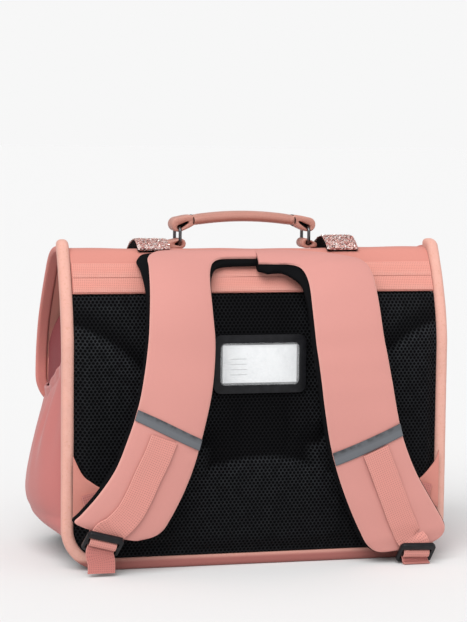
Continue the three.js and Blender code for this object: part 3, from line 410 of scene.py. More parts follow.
# %% Group: hexagon net
net, t, given, result = new_group(
    "hexagon net",
    [("Vector", "Vector"), ("Across", "Float", 0.0038), ("Along", "Float", 0.0059), ("Hole", "Float", 0.3)],
    [("Hole", "Float"), ("Height", "Float")],
)
cell = t.node("ShaderNodeCombineXYZ", i0=given.outputs["Across"], i1=given.outputs["Along"], i2=1.0).outputs[0]
scaled = t.vector("DIVIDE", given.outputs["Vector"], cell)
distances = []
for shift in (0.0, 0.5):
    local = t.vector("FRACTION", t.vector("ADD", scaled, (shift, shift, 0)))
    offset = t.vector("SUBTRACT", local, (0.5, 0.5, 0))
    flat = t.vector("MULTIPLY", offset, (1.0, 1.5, 0))
    distances.append(t.vector("LENGTH", flat))
nearest = t.math("MINIMUM", *distances)
hole = t.ramp(nearest, t.math("ADD", given.outputs["Hole"], 0.1), given.outputs["Hole"])
t.put(result.inputs["Hole"], hole)
t.put(result.inputs["Height"], t.math("SUBTRACT", 1.0, hole))

# %% [markdown]
# No dyed cloth is one flat colour. This group drifts a colour slowly lighter and darker, and the
# next one wears it: edges that are handled turn paler, where the piece's own wear and highlight value
# says so. On the spacer mesh that value is painted highlight on the pads.

# %% Groups: colour drift, and edge wear with painted highlight
drift, t, given, result = new_group(
    "colour drift",
    [("Vector", "Vector"), ("Color", "Color", (0.8, 0.4, 0.35, 1)), ("Amount", "Float", 0.12), ("Scale", "Float", 14.0)],
    [("Color", "Color"), ("Patches", "Float")],
)
slow = t.node("ShaderNodeTexNoise", Vector=given.outputs["Vector"], Scale=given.outputs["Scale"], Detail=3.0).outputs[0]
fine = t.node("ShaderNodeTexNoise", Vector=given.outputs["Vector"], Scale=420.0, Detail=2.0).outputs[0]
patches = t.math("ADD", t.math("MULTIPLY", slow, 0.7), t.math("MULTIPLY", fine, 0.3))
shift = t.math("MULTIPLY", t.math("SUBTRACT", patches, 0.5), given.outputs["Amount"])
bright = t.node("ShaderNodeHueSaturation", Color=given.outputs["Color"], Value=t.math("ADD", shift, 1.0))
t.put(result.inputs["Color"], bright.outputs[0])
t.put(result.inputs["Patches"], patches)

edge_wear_and_highlight, t, given, result = new_group(
    "edge wear",
    [("Vector", "Vector"), ("Color", "Color", (0.8, 0.4, 0.35, 1)), ("Worn Color", "Color", (0.9, 0.6, 0.5, 1)),
     ("Amount", "Float", 0.5)],
    [("Color", "Color"), ("Mask", "Float")],
)
# Real edge wear on most pieces; on the spacer mesh this value is painted highlight.
wear_and_highlight_value = t.node("ShaderNodeAttribute", {"attribute_name": "wear_and_highlight"}).outputs["Fac"]
grit = t.node("ShaderNodeTexNoise", Vector=given.outputs["Vector"], Scale=160.0, Detail=4.0).outputs[0]
rubbed_and_lit = t.math("MULTIPLY", wear_and_highlight_value, t.ramp(grit, 0.3, 0.7, 0.45, 1.0))
rubbed_and_lit = t.math("MULTIPLY", rubbed_and_lit, given.outputs["Amount"])
t.put(result.inputs["Color"], t.mix(rubbed_and_lit, given.outputs["Color"], given.outputs["Worn Color"]))
t.put(result.inputs["Mask"], rubbed_and_lit)

# %% [markdown]
# Leather grain is a net of fine creases round small pebbles, with pores here and there.

# %% Group: leather grain
grain, t, given, result = new_group(
    "leather grain",
    [("Vector", "Vector"), ("Pebbles", "Float", 900.0)],
    [("Height", "Float"), ("Crease", "Float")],
)
bend = t.node("ShaderNodeTexNoise", Vector=given.outputs["Vector"], Scale=200.0, Detail=3.0)
moved = t.vector("ADD", given.outputs["Vector"], t.vector("MULTIPLY", bend.outputs[1], (0.001, 0.001, 0.001)))
pebbles = t.node("ShaderNodeTexVoronoi", {"feature": "DISTANCE_TO_EDGE"}, Vector=moved, Scale=given.outputs["Pebbles"])
crease = t.ramp(pebbles.outputs["Distance"], 0.16, 0.0)
t.put(result.inputs["Height"], t.math("SUBTRACT", t.math("MULTIPLY", bend.outputs[0], 0.4), crease))
t.put(result.inputs["Crease"], crease)
print("node groups:", [g.name for g in bpy.data.node_groups])

# %% [markdown]
# One helper starts every material: it finds the cloth coordinates, lets a builder function make the
# colour, roughness and height, and wires them into a Principled shader with a Bump node. Numbers
# that are the same all over, such as sheen, are set straight on the shader.

# %% Material helper
materials = {}


def new_material(name, build, bump=0.4, distance=0.0004, **plain):
    material = bpy.data.materials.new(name)
    material.use_nodes = True
    tree = Tree(material.node_tree)
    shader = material.node_tree.nodes["Principled BSDF"]
    for key, value in plain.items():
        shader.inputs[key.replace("_", " ")].default_value = value
    cloth = tree.node("ShaderNodeUVMap", {"uv_map": "cloth"}).outputs[0]
    place = tree.node("ShaderNodeTexCoord").outputs["Object"]
    made = build(tree, cloth, place)
    for key in ("Base Color", "Roughness", "Metallic", "Alpha", "Coat Weight"):
        if key in made:
            tree.put(shader.inputs[key], made[key])
    if "Height" in made:
        node = tree.node("ShaderNodeBump", Strength=bump, Distance=distance, Height=made["Height"])
        tree.put(shader.inputs["Normal"], node.outputs[0])
    materials[name] = material
    return material


def use_group(tree, group, **inputs):
    made = tree.node("ShaderNodeGroup", {"node_tree": group}, **inputs)
    return made.outputs


# %% [markdown]
# The pink fabrics. The straps are faced with a smooth, dense fabric, the flap's band with the same
# fabric and two rows of ribbed weave, and the pockets with a thinner, deeper pink one. Each recipe
# takes the weave, drifts its colour, wears its edges and adds slow wrinkles to the bump.

# %% Pink fabrics
STRAP_PINK = srgb(200, 138, 130)
BAND_PINK = srgb(202, 132, 120)
TAPE_PINK = srgb(212, 157, 143)
DEEP_PINK = srgb(182, 108, 104)
# The gusset's deep rose is partly the cloth's own colour and partly painted shade for the dark gap behind the flap.
SHADED_GUSSET_PINK = srgb(128, 52, 56)


def cloth_recipe(colour, worn, threads, drift_amount=0.14, wear_amount=0.5, rough=0.78):
    def build(tree, cloth, place):
        threads_out = use_group(tree, weave, Vector=cloth, Threads=threads)
        drifted = use_group(tree, drift, Vector=place, Color=colour, Amount=drift_amount)
        worn_out = use_group(tree, edge_wear_and_highlight, Vector=place, Color=drifted["Color"], Worn_Color=worn, Amount=wear_amount)
        shaded = tree.mix(tree.ramp(threads_out["Height"], 0.35, 0.0, 0.0, 0.18), worn_out["Color"],
                          tuple(c * 0.55 for c in colour[:3]) + (1,))
        wrinkles = tree.node("ShaderNodeTexNoise", Vector=place, Scale=38.0, Detail=3.0).outputs[0]
        height = tree.math("ADD", tree.math("MULTIPLY", threads_out["Height"], 0.3),
                           tree.math("MULTIPLY", wrinkles, 0.9))
        roughness = tree.ramp(drifted["Patches"], 0.3, 0.7, rough - 0.07, rough + 0.05)
        return {"Base Color": shaded, "Roughness": roughness, "Height": height}

    return build


new_material("strap fabric", cloth_recipe(STRAP_PINK, srgb(218, 165, 154), 2200, 0.1, 0.6, 0.7),
             bump=0.28, Sheen_Weight=0.08, Sheen_Roughness=0.5, Specular_IOR_Level=0.3)
new_material("pocket fabric", cloth_recipe(DEEP_PINK, srgb(216, 140, 132), 1500, 0.2, 0.5, 0.8),
             bump=0.5, Sheen_Weight=0.15)
new_material("shaded gusset fabric", cloth_recipe(SHADED_GUSSET_PINK, srgb(170, 90, 90), 1500, 0.25, 0.5, 0.85), bump=0.5)
new_material("flap fabric", cloth_recipe(BAND_PINK, srgb(216, 160, 148), 1700, 0.12, 0.5, 0.78),
             bump=0.35, Sheen_Weight=0.08, Specular_IOR_Level=0.3)
new_material("thread", cloth_recipe(srgb(238, 172, 160), srgb(245, 200, 190), 4000, 0.1, 0.0, 0.7), bump=0.2)


def tape_recipe(colour, worn):
    def build(tree, cloth, place):
        twill = tree.node("ShaderNodeMapping", Vector=cloth, Rotation=(0, 0, math.radians(42))).outputs[0]
        threads_out = use_group(tree, ribs, Vector=twill, Ribs=1300.0, Floats=900.0)
        drifted = use_group(tree, drift, Vector=place, Color=colour, Amount=0.2, Scale=60.0)
        worn_out = use_group(tree, edge_wear_and_highlight, Vector=place, Color=drifted["Color"], Worn_Color=worn, Amount=0.6)
        speck = tree.node("ShaderNodeTexNoise", Vector=place, Scale=520.0, Detail=1.0).outputs[0]
        colour_out = tree.mix(tree.ramp(speck, 0.58, 0.72, 0.0, 0.35), worn_out["Color"], srgb(196, 140, 112))
        # Painted shade: the tape turns darker near the floor, on the lower side of the bottom binding.
        low = tree.ramp(tree.node("ShaderNodeSeparateXYZ", i0=place).outputs[2], 0.0125, 0.007)
        colour_out = tree.mix(low, colour_out, srgb(152, 92, 86))
        height = tree.math("ADD", tree.math("MULTIPLY", threads_out["Height"], 0.5), speck)
        return {"Base Color": colour_out, "Roughness": tree.ramp(drifted["Patches"], 0.3, 0.7, 0.7, 0.85),
                "Height": height}

    return build


new_material("binding tape", tape_recipe(TAPE_PINK, srgb(228, 184, 170)), bump=0.35, Sheen_Weight=0.1,
             Specular_IOR_Level=0.3)
# A darker copy of the binding tape: painted shade for the tape on the flap's edge and the front edge.
new_material("shaded binding tape", tape_recipe(srgb(196, 122, 114), srgb(225, 160, 150)), bump=0.35)


def webbing_recipe(colour, rib_count):
    def build(tree, cloth, place):
        rows = use_group(tree, ribs, Vector=cloth, Ribs=rib_count, Floats=rib_count)
        drifted = use_group(tree, drift, Vector=place, Color=colour, Amount=0.14, Scale=30.0)
        worn_out = use_group(tree, edge_wear_and_highlight, Vector=place, Color=drifted["Color"], Worn_Color=srgb(216, 160, 148),
                             Amount=0.5)
        dark = tuple(c * 0.5 for c in colour[:3]) + (1,)
        shaded = tree.mix(tree.math("MULTIPLY", rows["Groove"], 0.85), worn_out["Color"], dark)
        return {"Base Color": shaded, "Roughness": tree.ramp(drifted["Patches"], 0.3, 0.7, 0.72, 0.86),
                "Height": rows["Height"]}

    return build


new_material("ribbed webbing", webbing_recipe(srgb(206, 138, 128), 480.0), bump=0.55, distance=0.0005)
new_material("band weave", webbing_recipe(srgb(212, 140, 127), 560.0), bump=0.5, distance=0.0004)
# The same webbing darkened: painted shade for the lower webbing and its tails behind the locks.
new_material("shaded webbing", webbing_recipe(srgb(186, 114, 107), 480.0), bump=0.55, distance=0.0005)
print("pink fabrics:", len(materials))

# %% [markdown]
# The black pieces: the spacer mesh with painted shade in its holes and painted highlights on its pads,
# the padding's soft knit, and moulded plastic that is a little glossier on its worn edges.

# %% Black fabrics and plastic


def mesh_recipe(tree, cloth, place):
    pattern = use_group(tree, net, Vector=cloth, Across=0.0038, Along=0.0059, Hole=0.27)
    knit = use_group(tree, weave, Vector=cloth, Threads=2600.0)
    drifted = use_group(tree, drift, Vector=place, Color=srgb(17, 17, 19), Amount=0.35, Scale=24.0)
    # Painted highlight: the mesh turns towards this grey along the pads' lit edges.
    pad_highlighted = use_group(tree, edge_wear_and_highlight, Vector=place, Color=drifted["Color"], Worn_Color=srgb(50, 52, 55), Amount=1.1)
    strands = tree.mix(tree.math("MULTIPLY", knit["Height"], 0.35), pad_highlighted["Color"], srgb(14, 14, 16))
    # Painted shade: the holes are darker than the strands around them.
    colour = tree.mix(pattern["Hole"], strands, srgb(4, 4, 5))
    height = tree.math("ADD", pattern["Height"], tree.math("MULTIPLY", knit["Height"], 0.12))
    rough = tree.math("MULTIPLY_ADD", pattern["Hole"], 0.3, 0.62)
    return {"Base Color": colour, "Roughness": rough, "Height": height}


def knit_recipe(tree, cloth, place):
    knit = use_group(tree, weave, Vector=cloth, Threads=1500.0)
    drifted = use_group(tree, drift, Vector=place, Color=srgb(15, 15, 17), Amount=0.4, Scale=30.0)
    lint = tree.node("ShaderNodeTexNoise", Vector=place, Scale=900.0, Detail=2.0).outputs[0]
    colour = tree.mix(tree.ramp(lint, 0.6, 0.8, 0.0, 0.25), drifted["Color"], srgb(44, 43, 46))
    return {"Base Color": colour, "Roughness": tree.ramp(lint, 0.2, 0.8, 0.8, 0.95), "Height": knit["Height"]}


def plastic_recipe(tree, cloth, place):
    drifted = use_group(tree, drift, Vector=place, Color=srgb(8, 8, 10), Amount=0.3, Scale=50.0)
    worn = use_group(tree, edge_wear_and_highlight, Vector=place, Color=drifted["Color"], Worn_Color=srgb(40, 40, 44), Amount=0.5)
    spark = tree.node("ShaderNodeTexNoise", Vector=place, Scale=1500.0, Detail=2.0).outputs[0]
    rough = tree.math("SUBTRACT", tree.ramp(spark, 0.3, 0.7, 0.38, 0.5), tree.math("MULTIPLY", worn["Mask"], 0.15))
    return {"Base Color": worn["Color"], "Roughness": rough, "Height": spark}


new_material("spacer mesh", mesh_recipe, bump=0.9, distance=0.0011, Specular_IOR_Level=0.05)
new_material("black padding", knit_recipe, bump=0.5, distance=0.0005, Specular_IOR_Level=0.06)
new_material("black plastic", plastic_recipe, bump=0.12, distance=0.0001, Specular_IOR_Level=0.2)

# %% [markdown]
# Reflective tape is grey cloth under a film of tiny glass beads: slightly metallic, with a faint
# diamond emboss. The metal of the rings is dark plated steel with fine scratches.

# %% Tape, metal and leather


def reflector_recipe(tree, cloth, place):
    diamonds = tree.node("ShaderNodeMapping", Vector=cloth, Rotation=(0, 0, math.radians(45))).outputs[0]
    emboss = use_group(tree, weave, Vector=diamonds, Threads=700.0)
    drifted = use_group(tree, drift, Vector=place, Color=srgb(104, 107, 112), Amount=0.25, Scale=40.0)
    worn = use_group(tree, edge_wear_and_highlight, Vector=place, Color=drifted["Color"], Worn_Color=srgb(38, 38, 42), Amount=0.9)
    beads = tree.node("ShaderNodeTexNoise", Vector=place, Scale=2400.0, Detail=1.0).outputs[0]
    return {"Base Color": worn["Color"], "Roughness": tree.ramp(beads, 0.3, 0.7, 0.34, 0.52),
            "Metallic": tree.ramp(worn["Mask"], 0.1, 0.5, 0.35, 0.0),
            "Height": tree.math("ADD", emboss["Height"], tree.math("MULTIPLY", beads, 0.3))}


def metal_recipe(tree, cloth, place):
    scratches = tree.node("ShaderNodeMapping", Vector=place, Scale=(60.0, 700.0, 700.0)).outputs[0]
    lines = tree.node("ShaderNodeTexNoise", Vector=scratches, Scale=3.0, Detail=4.0).outputs[0]
    drifted = use_group(tree, drift, Vector=place, Color=srgb(96, 94, 96), Amount=0.4, Scale=80.0)
    return {"Base Color": drifted["Color"], "Roughness": tree.ramp(lines, 0.3, 0.7, 0.2, 0.4), "Height": lines}


def leather_recipe(colour, worn_colour):
    def build(tree, cloth, place):
        skin_out = use_group(tree, grain, Vector=place, Pebbles=1100.0)
        drifted = use_group(tree, drift, Vector=place, Color=colour, Amount=0.25, Scale=45.0)
        worn = use_group(tree, edge_wear_and_highlight, Vector=place, Color=drifted["Color"], Worn_Color=worn_colour, Amount=0.7)
        creased = tree.mix(tree.math("MULTIPLY", skin_out["Crease"], 0.35), worn["Color"],
                           tuple(c * 0.45 for c in colour[:3]) + (1,))
        return {"Base Color": creased, "Roughness": tree.ramp(skin_out["Height"], -0.6, 0.3, 0.62, 0.42),
                "Height": skin_out["Height"]}

    return build


new_material("reflective tape", reflector_recipe, bump=0.2, distance=0.0002)
new_material("dark metal", metal_recipe, bump=0.05, distance=0.0001, Metallic=1.0)
new_material("handle leather", leather_recipe(srgb(186, 128, 114), srgb(210, 156, 141)), bump=0.35,
             distance=0.0003)

# %% [markdown]
# The glitter cloth is a clear coat over a rosy base that is packed with flakes. The base gets a fine
# cell pattern here, and the flakes that catch the light are separate tiny plates, made further down.

# %% Glitter, film and card


def glitter_recipe(tree, cloth, place):
    cells = tree.node("ShaderNodeTexVoronoi", Vector=place, Scale=900.0)
    pick = tree.node("ShaderNodeSeparateColor", Color=cells.outputs["Color"])
    warm = tree.mix(tree.ramp(pick.outputs[0], 0.3, 0.7), srgb(150, 84, 80), srgb(214, 160, 150))
    mixed = tree.mix(tree.ramp(pick.outputs[1], 0.82, 0.86), warm, srgb(30, 24, 26))
    mixed = tree.mix(tree.ramp(pick.outputs[2], 0.78, 0.82), mixed, srgb(252, 240, 236))
    return {"Base Color": mixed, "Roughness": tree.ramp(pick.outputs[1], 0.0, 1.0, 0.2, 0.6),
            "Metallic": tree.ramp(pick.outputs[2], 0.3, 0.8, 0.1, 0.6), "Height": cells.outputs["Distance"]}


def flake_recipe(tree, cloth, place):
    cells = tree.node("ShaderNodeTexVoronoi", Vector=place, Scale=500.0)
    pick = tree.node("ShaderNodeSeparateColor", Color=cells.outputs["Color"])
    colour = tree.mix(tree.ramp(pick.outputs[0], 0.4, 0.6), srgb(240, 196, 186), srgb(255, 250, 246))
    return {"Base Color": colour, "Roughness": tree.ramp(pick.outputs[1], 0.0, 1.0, 0.12, 0.35)}


def card_recipe(tree, cloth, place):
    parts = tree.node("ShaderNodeSeparateXYZ", i0=cloth)
    across, up_card = parts.outputs[0], parts.outputs[1]
    fibre = tree.node("ShaderNodeTexNoise", Vector=place, Scale=700.0, Detail=3.0).outputs[0]
    paper = tree.mix(tree.ramp(fibre, 0.3, 0.7), srgb(238, 240, 241), srgb(250, 250, 250))
    print_mask = 0.0
    for line in (0.0078, 0.0128, 0.0178, 0.0228):
        band = tree.math("SUBTRACT", 1.0, tree.ramp(tree.math("ABSOLUTE", tree.math("SUBTRACT", up_card, line)), 0.0002, 0.0005))
        inside = tree.math("MULTIPLY", tree.ramp(across, 0.0075, 0.0085), tree.ramp(across, 0.0245, 0.0235))
        print_mask = tree.math("MAXIMUM", print_mask, tree.math("MULTIPLY", band, inside))
    return {"Base Color": tree.mix(tree.math("MULTIPLY", print_mask, 0.55), paper, srgb(70, 72, 76)),
            "Roughness": tree.ramp(fibre, 0.3, 0.7, 0.45, 0.6), "Height": fibre}


def film_recipe(tree, cloth, place):
    ripple = tree.node("ShaderNodeTexNoise", Vector=place, Scale=45.0, Detail=2.0).outputs[0]
    return {"Base Color": tree.mix(ripple, srgb(225, 228, 230), srgb(245, 246, 248)),
            "Roughness": tree.ramp(ripple, 0.3, 0.7, 0.05, 0.16), "Height": ripple,
            "Alpha": tree.ramp(ripple, 0.3, 0.7, 0.16, 0.24)}


new_material("glitter cloth", glitter_recipe, bump=0.6, distance=0.0004, Coat_Weight=0.4)
new_material("glitter flakes", flake_recipe, Metallic=0.6)
new_material("printed card", card_recipe, bump=0.05, distance=0.0001)
new_material("clear film", film_recipe, bump=0.3, distance=0.002)
print("materials:", len(materials))

# %% [markdown]
# A finished piece rides on the satchel's one body, takes its material, and stands for its CAD nodes.

# %% Finish a piece


def settle(piece, material, slot, *replaced):
    piece.data.materials.clear()
    piece.data.materials.append(materials[material])
    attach(piece, "root")
    if replaced:
        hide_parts(*replaced)
    return piece


# %% [markdown]
# Shared lines of the satchel, repeated from the CAD model in the same named sizes: the back's lean,
# its outline with round lower corners, the flap's long curve, and the face that the straps follow.

# %% Shared lines
WIDTH, HEIGHT, DEPTH = 380.0, 306.0, 180.0
CORNER, LEAN, REACH = 40.0, 34.0, 38.0
HALF, BACK = WIDTH / 2, -DEPTH / 2
MESH_BACK = BACK + 5.7
BODY_BACK = MESH_BACK + 6.3
BODY_FRONT, BODY_HALF = DEPTH / 2 - 14, HALF - 12


def lean_at(z):
    return LEAN * np.clip((np.asarray(z) / HEIGHT - 0.68) / 0.32, 0, 1.05) ** 1.7


def outline_half(z, inset, half=HALF, radius=CORNER):
    rise = np.maximum(radius - np.asarray(z, float), 0)
    arc = np.sqrt(np.maximum((radius - inset) ** 2 - rise**2, 0))
    return np.where(rise > 0, half - radius + arc, half - inset)


flap_profile = np.array([
    (0.066, 0.855), (0.104, 0.905), (0.150, 0.955), (0.200, 0.984), (0.280, 0.989), (0.415, 0.976),
    (0.510, 0.951), (0.635, 0.888), (0.782, 0.800), (0.878, 0.729), (0.938, 0.659), (0.972, 0.590),
    (0.978, 0.520), (0.970, 0.418)])
knots = flap_profile * (DEPTH, HEIGHT) + (BACK, 0)
steps = np.concatenate([[0], np.cumsum(np.linalg.norm(np.diff(knots, axis=0), axis=1) ** 0.5)])
fine = np.linspace(0, steps[-1], 3000)
flap_line = np.stack([through(steps, knots[:, 0])(fine), through(steps, knots[:, 1])(fine)], 1)
flap_reach = np.concatenate([[0], np.cumsum(np.linalg.norm(np.diff(flap_line, axis=0), axis=1))])
FLAP_LENGTH = flap_reach[-1]
flap_along = unit(np.gradient(flap_line, axis=0))


def flap_swell(distance, x):
    """The flap sags a little under the handle and is full in front."""
    share = distance / FLAP_LENGTH
    height = -1 + 5 * ease((share - 0.35) / 0.3)
    return height * (1 - (x / HALF) ** 2) * ease(share / 0.15)


def flap_at(distance, x, lift=0.0):
    """A point of the flap's outer face, lifted along its normal, and that normal."""
    distance, x, lift = np.broadcast_arrays(np.asarray(distance, float), x, lift)
    y = np.interp(distance, flap_reach, flap_line[:, 0])
    z = np.interp(distance, flap_reach, flap_line[:, 1])
    dy = np.interp(distance, flap_reach, flap_along[:, 0])
    dz = np.interp(distance, flap_reach, flap_along[:, 1])
    past = distance - np.clip(distance, 0, FLAP_LENGTH)
    lift = lift + flap_swell(distance, x)
    normal = np.stack([np.zeros_like(dy), -dz, dy], -1)
    point = np.stack([x, y + dy * past, z + dz * past], -1) + normal * lift[..., None]
    return point, normal


def flap_over(y):
    """How far along the flap it lies over a depth."""
    high = flap_line[:, 1] > 0.5 * HEIGHT
    best = np.argmin(np.abs(flap_line[high, 0] - y))
    return flap_reach[high][best]


crest = int(np.argmax(flap_line[:, 1]))


def flap_climb(z):
    return np.interp(z, flap_line[: crest + 1, 1], flap_reach[: crest + 1])


print("flap is", round(float(FLAP_LENGTH)), "mm long from the band to the lip")

# %% [markdown]
# The shoulder straps hang from a sewn yoke, stand off the back and fall to their locks. Each is a
# padded strap: seen from the front a curved outline, seen from the side a slow arc. The tables give
# the outline in shares of the back's half width and height, and the arc as a lean and a reach.

# %% Strap surface
strap_fall = np.array([
    (1.010, 1.12, 0.00), (0.988, 0.82, 0.00), (0.972, 0.52, 0.00), (0.948, 0.17, 0.00),
    (0.915, 0.00, 0.12), (0.880, 0.00, 0.34), (0.840, 0.00, 0.53), (0.780, 0.00, 0.71),
    (0.700, 0.00, 0.85), (0.600, 0.00, 0.96), (0.500, 0.00, 1.00), (0.400, 0.00, 0.98),
    (0.300, 0.00, 0.92), (0.200, 0.00, 0.84), (0.100, 0.00, 0.74), (0.000, 0.00, 0.62)])[::-1]
fall_depth = through(strap_fall[:, 0] * HEIGHT, BACK + strap_fall[:, 1] * LEAN - strap_fall[:, 2] * REACH)

strap_rows = {
    "left": np.array([
        (0.000, 0.988, 0.000, 0.967), (0.170, 0.988, 0.115, 0.967), (0.345, 0.988, 0.190, 0.965),
        (0.500, 0.985, 0.236, 0.953), (0.556, 0.970, 0.258, 0.930), (0.566, 0.940, 0.268, 0.901),
        (0.577, 0.878, 0.274, 0.858), (0.590, 0.798, 0.272, 0.790), (0.603, 0.708, 0.267, 0.708),
        (0.627, 0.611, 0.276, 0.624), (0.658, 0.518, 0.296, 0.538), (0.708, 0.424, 0.333, 0.434),
        (0.765, 0.334, 0.372, 0.340), (0.845, 0.258, 0.417, 0.262), (0.925, 0.200, 0.459, 0.205),
        (0.962, 0.175, 0.490, 0.168), (0.918, 0.156, 0.520, 0.138), (0.850, 0.142, 0.566, 0.118),
        (0.770, 0.125, 0.646, 0.108)]),
    "right": np.array([
        (0.000, 0.988, 0.000, 0.950), (0.180, 0.988, 0.084, 0.949), (0.345, 0.981, 0.151, 0.948),
        (0.490, 0.969, 0.200, 0.941), (0.555, 0.954, 0.226, 0.922), (0.579, 0.922, 0.237, 0.890),
        (0.586, 0.856, 0.238, 0.822), (0.597, 0.750, 0.244, 0.736), (0.617, 0.667, 0.255, 0.667),
        (0.638, 0.590, 0.269, 0.597), (0.657, 0.524, 0.284, 0.521), (0.684, 0.445, 0.310, 0.424),
        (0.725, 0.368, 0.340, 0.347), (0.784, 0.288, 0.380, 0.271), (0.862, 0.208, 0.434, 0.188),
        (0.932, 0.139, 0.494, 0.111), (0.950, 0.108, 0.540, 0.063), (0.935, 0.082, 0.598, 0.039),
        (0.880, 0.062, 0.690, 0.041)]),
}
signs = {"left": -1, "right": 1}
row_curves = {
    name: [through(np.arange(len(rows)), rows[:, k]) for k in range(4)] for name, rows in strap_rows.items()}


def strap_face(z):
    y = fall_depth(z)
    slope = (fall_depth(z + 5) - fall_depth(z - 5)) / 10
    return y, unit(np.stack([np.zeros_like(y), -np.ones_like(y), slope], -1))


def strap_point(name, station, place, lift=0.0, spread=0.0):
    """A point of a strap: station along it, place across from the outer edge (-1) to the inner one
    (1), lift above its face and spread beyond its edges, in millimetres."""
    station, place, lift, spread = np.broadcast_arrays(station, place, lift, spread)
    outer_x, outer_z, inner_x, inner_z = (curve(station) for curve in row_curves[name])
    width = np.hypot((outer_x - inner_x) * HALF, (outer_z - inner_z) * HEIGHT)
    share = (place + 1) / 2 + spread * np.sign(place) / np.maximum(width, 20)
    x = (outer_x + (inner_x - outer_x) * share) * HALF
    z = (outer_z + (inner_z - outer_z) * share) * HEIGHT
    y, out = strap_face(z)
    lift = lift + flap_swell(flap_climb(z), x)
    base = np.stack([signs[name] * np.maximum(x, 0.2), y, z], -1)
    return base + out * lift[..., None], out


def crown(place):
    return 2.4 * (1 - np.asarray(place) ** 2)


# %% [markdown]
# The strap's face is a fabric panel that is turned under at both edges and top-stitched. Its section
# has a shallow channel where the stitches pull it down, and its length has the faint cross wrinkles
# of a strap that has been bent, with deeper dents where the reflective tape stiffens it.

# %% Strap faces
FACE = 2.6
dents = {"left": ((10.15, -1.0, 1.3), (11.45, 1.0, 1.5)), "right": ((11.2, -1.0, 1.5), (11.95, 1.0, 1.6))}


def strap_relief(name, station, place):
    """How far the face rises or falls from its smooth shape."""
    seam = -0.3 * bump_at(np.abs(place), 0.9, 0.04) * ease(np.asarray(station) / 0.4)
    folds = 0.45 * waves(station * 9.0, place * 2.2, 11 + len(name), 5, 14.0) * (1 - 0.4 * np.abs(place))
    folds = folds + 0.5 * waves(station * 20.0, place * 3.0, 5 + len(name), 4, 26.0) * bump_at(station, 8.2, 2.6)
    for where, edge, depth in dents[name]:
        folds = folds - depth * bump_at(station, where, 0.16) * ease(1 - np.abs(place - edge) / 0.55)
    return seam + folds


def strap_section(columns):
    """Places across and lifts of a turned edge: the top, the round edge, and back underneath."""
    top = np.linspace(-1, 1, columns)
    rounding = 1.3 * (1 - np.sqrt(np.clip(1 - (np.clip(np.abs(top) - 0.95, 0, 1) / 0.05) ** 2, 0, 1)))
    places = np.concatenate([top, top[::-1]])
    lifts = np.concatenate([-rounding, -FACE + rounding])
    keep = np.ones(len(places), bool)
    keep[[columns, -1]] = False
    return places[keep], lifts[keep]


def warp_stations(count, last):
    """Stations along a strap, closer together where its outline turns fast."""
    raw = np.linspace(0, last, 400)
    speed = 1 + 1.6 * bump_at(raw, 3.8, 1.2) + 1.8 * bump_at(raw, last - 2.5, 1.6)
    total = np.concatenate([[0], np.cumsum((speed[1:] + speed[:-1]) / 2)])
    return np.interp(np.linspace(0, total[-1], count), total, raw)


strap_faces = {}
for name in ("left", "right"):
    last = len(strap_rows[name]) - 1
    stations = warp_stations(150, last)[:, None]
    places, lifts = strap_section(41)
    lift = lifts + crown(places) + strap_relief(name, stations, places) * (lifts > -1.35)
    grid, _ = strap_point(name, stations, places[None], lift)
    wear_and_highlight = np.clip((np.abs(places) - 0.93) / 0.07, 0, 1) ** 2 * np.ones_like(stations)
    face = skin(f"strap_face_{name}", grid, wear_and_highlight=wear_and_highlight)
    strap_faces[name] = settle(face, "strap fabric", "pink_leather", f"shoulder_strap_{name}")
    print(face.name, len(face.data.polygons), "faces")

# %% [markdown]
# The padding is a thick black foam strip under the face. It bulges out beyond the pink edges, and
# near the left shoulder it flares sideways, where the photograph shows it standing free of the face.
# Under the yoke the right strap's wide inner flare is partly foam and partly painted shadow.

# %% Strap padding
flare = {
    "left": {"outer": [(0, 1.5), (2.6, 3), (3.4, 8), (4.2, 10), (5.0, 7.5), (5.8, 4), (6.6, 2), (18, 1.5)],
             "inner": [(0, 5), (1, 6), (2, 6), (3, 4), (5, 2), (18, 1.5)]},
    "right": {"outer": [(0, 1.5), (18, 1.5)],
              # Partly painted shadow: this wide black flare also fills the shade under the yoke.
              "inner": [(0, 4), (1, 9), (2, 14), (3, 15), (4, 11), (5, 5.5), (6, 3), (18, 1.8)]},
}


def padding_room(name, station, place):
    """The padding's thickness: full on the strap, thin where the yoke meets the flap."""
    point, _ = strap_point(name, station, place)
    gap = np.full(point.shape[:-1], 1e9)
    for y, z in flap_line[::40]:
        gap = np.minimum(gap, np.hypot(point[..., 1] - y, point[..., 2] - z))
    last = len(strap_rows[name]) - 1
    full = (11 - 2.4 * place**2) * (0.45 + 0.55 * ease((last - station) / 4))
    room = gap + 1.0 * (1 - (point[..., 0] / HALF) ** 2) - FACE - 1.2
    return np.clip(np.minimum(room, full), 0.8, None)


for name in ("left", "right"):
    last = len(strap_rows[name]) - 1
    stations = warp_stations(110, last)[:, None]
    around = np.linspace(0, 2 * np.pi, 48, endpoint=False)[None]
    places = np.sign(np.cos(around)) * np.abs(np.cos(around)) ** 0.55 * np.ones_like(stations)
    depth_share = (1 - np.sign(np.sin(around)) * np.abs(np.sin(around)) ** 0.5) / 2
    thick = padding_room(name, stations, places)
    edges = flare[name]
    outer = np.interp(stations, *zip(*edges["outer"]))
    inner = np.interp(stations, *zip(*edges["inner"]))
    spread = np.where(places < 0, outer, inner) * np.abs(places) ** 6
    lift = crown(places) - FACE - 0.2 - depth_share * thick + 0.3 * waves(stations * 9, places * 4, 3, 4, 12)
    grid, _ = strap_point(name, stations, places, lift, spread)
    pad = skin(f"strap_foam_{name}", grid)
    settle(pad, "black padding", "black_cloth", f"strap_padding_{name}")
    print(pad.name, len(pad.data.polygons), "faces")

# %% [markdown]
# Reflective tapes cross both straps. Each is a flat tape with darker sewn edges.

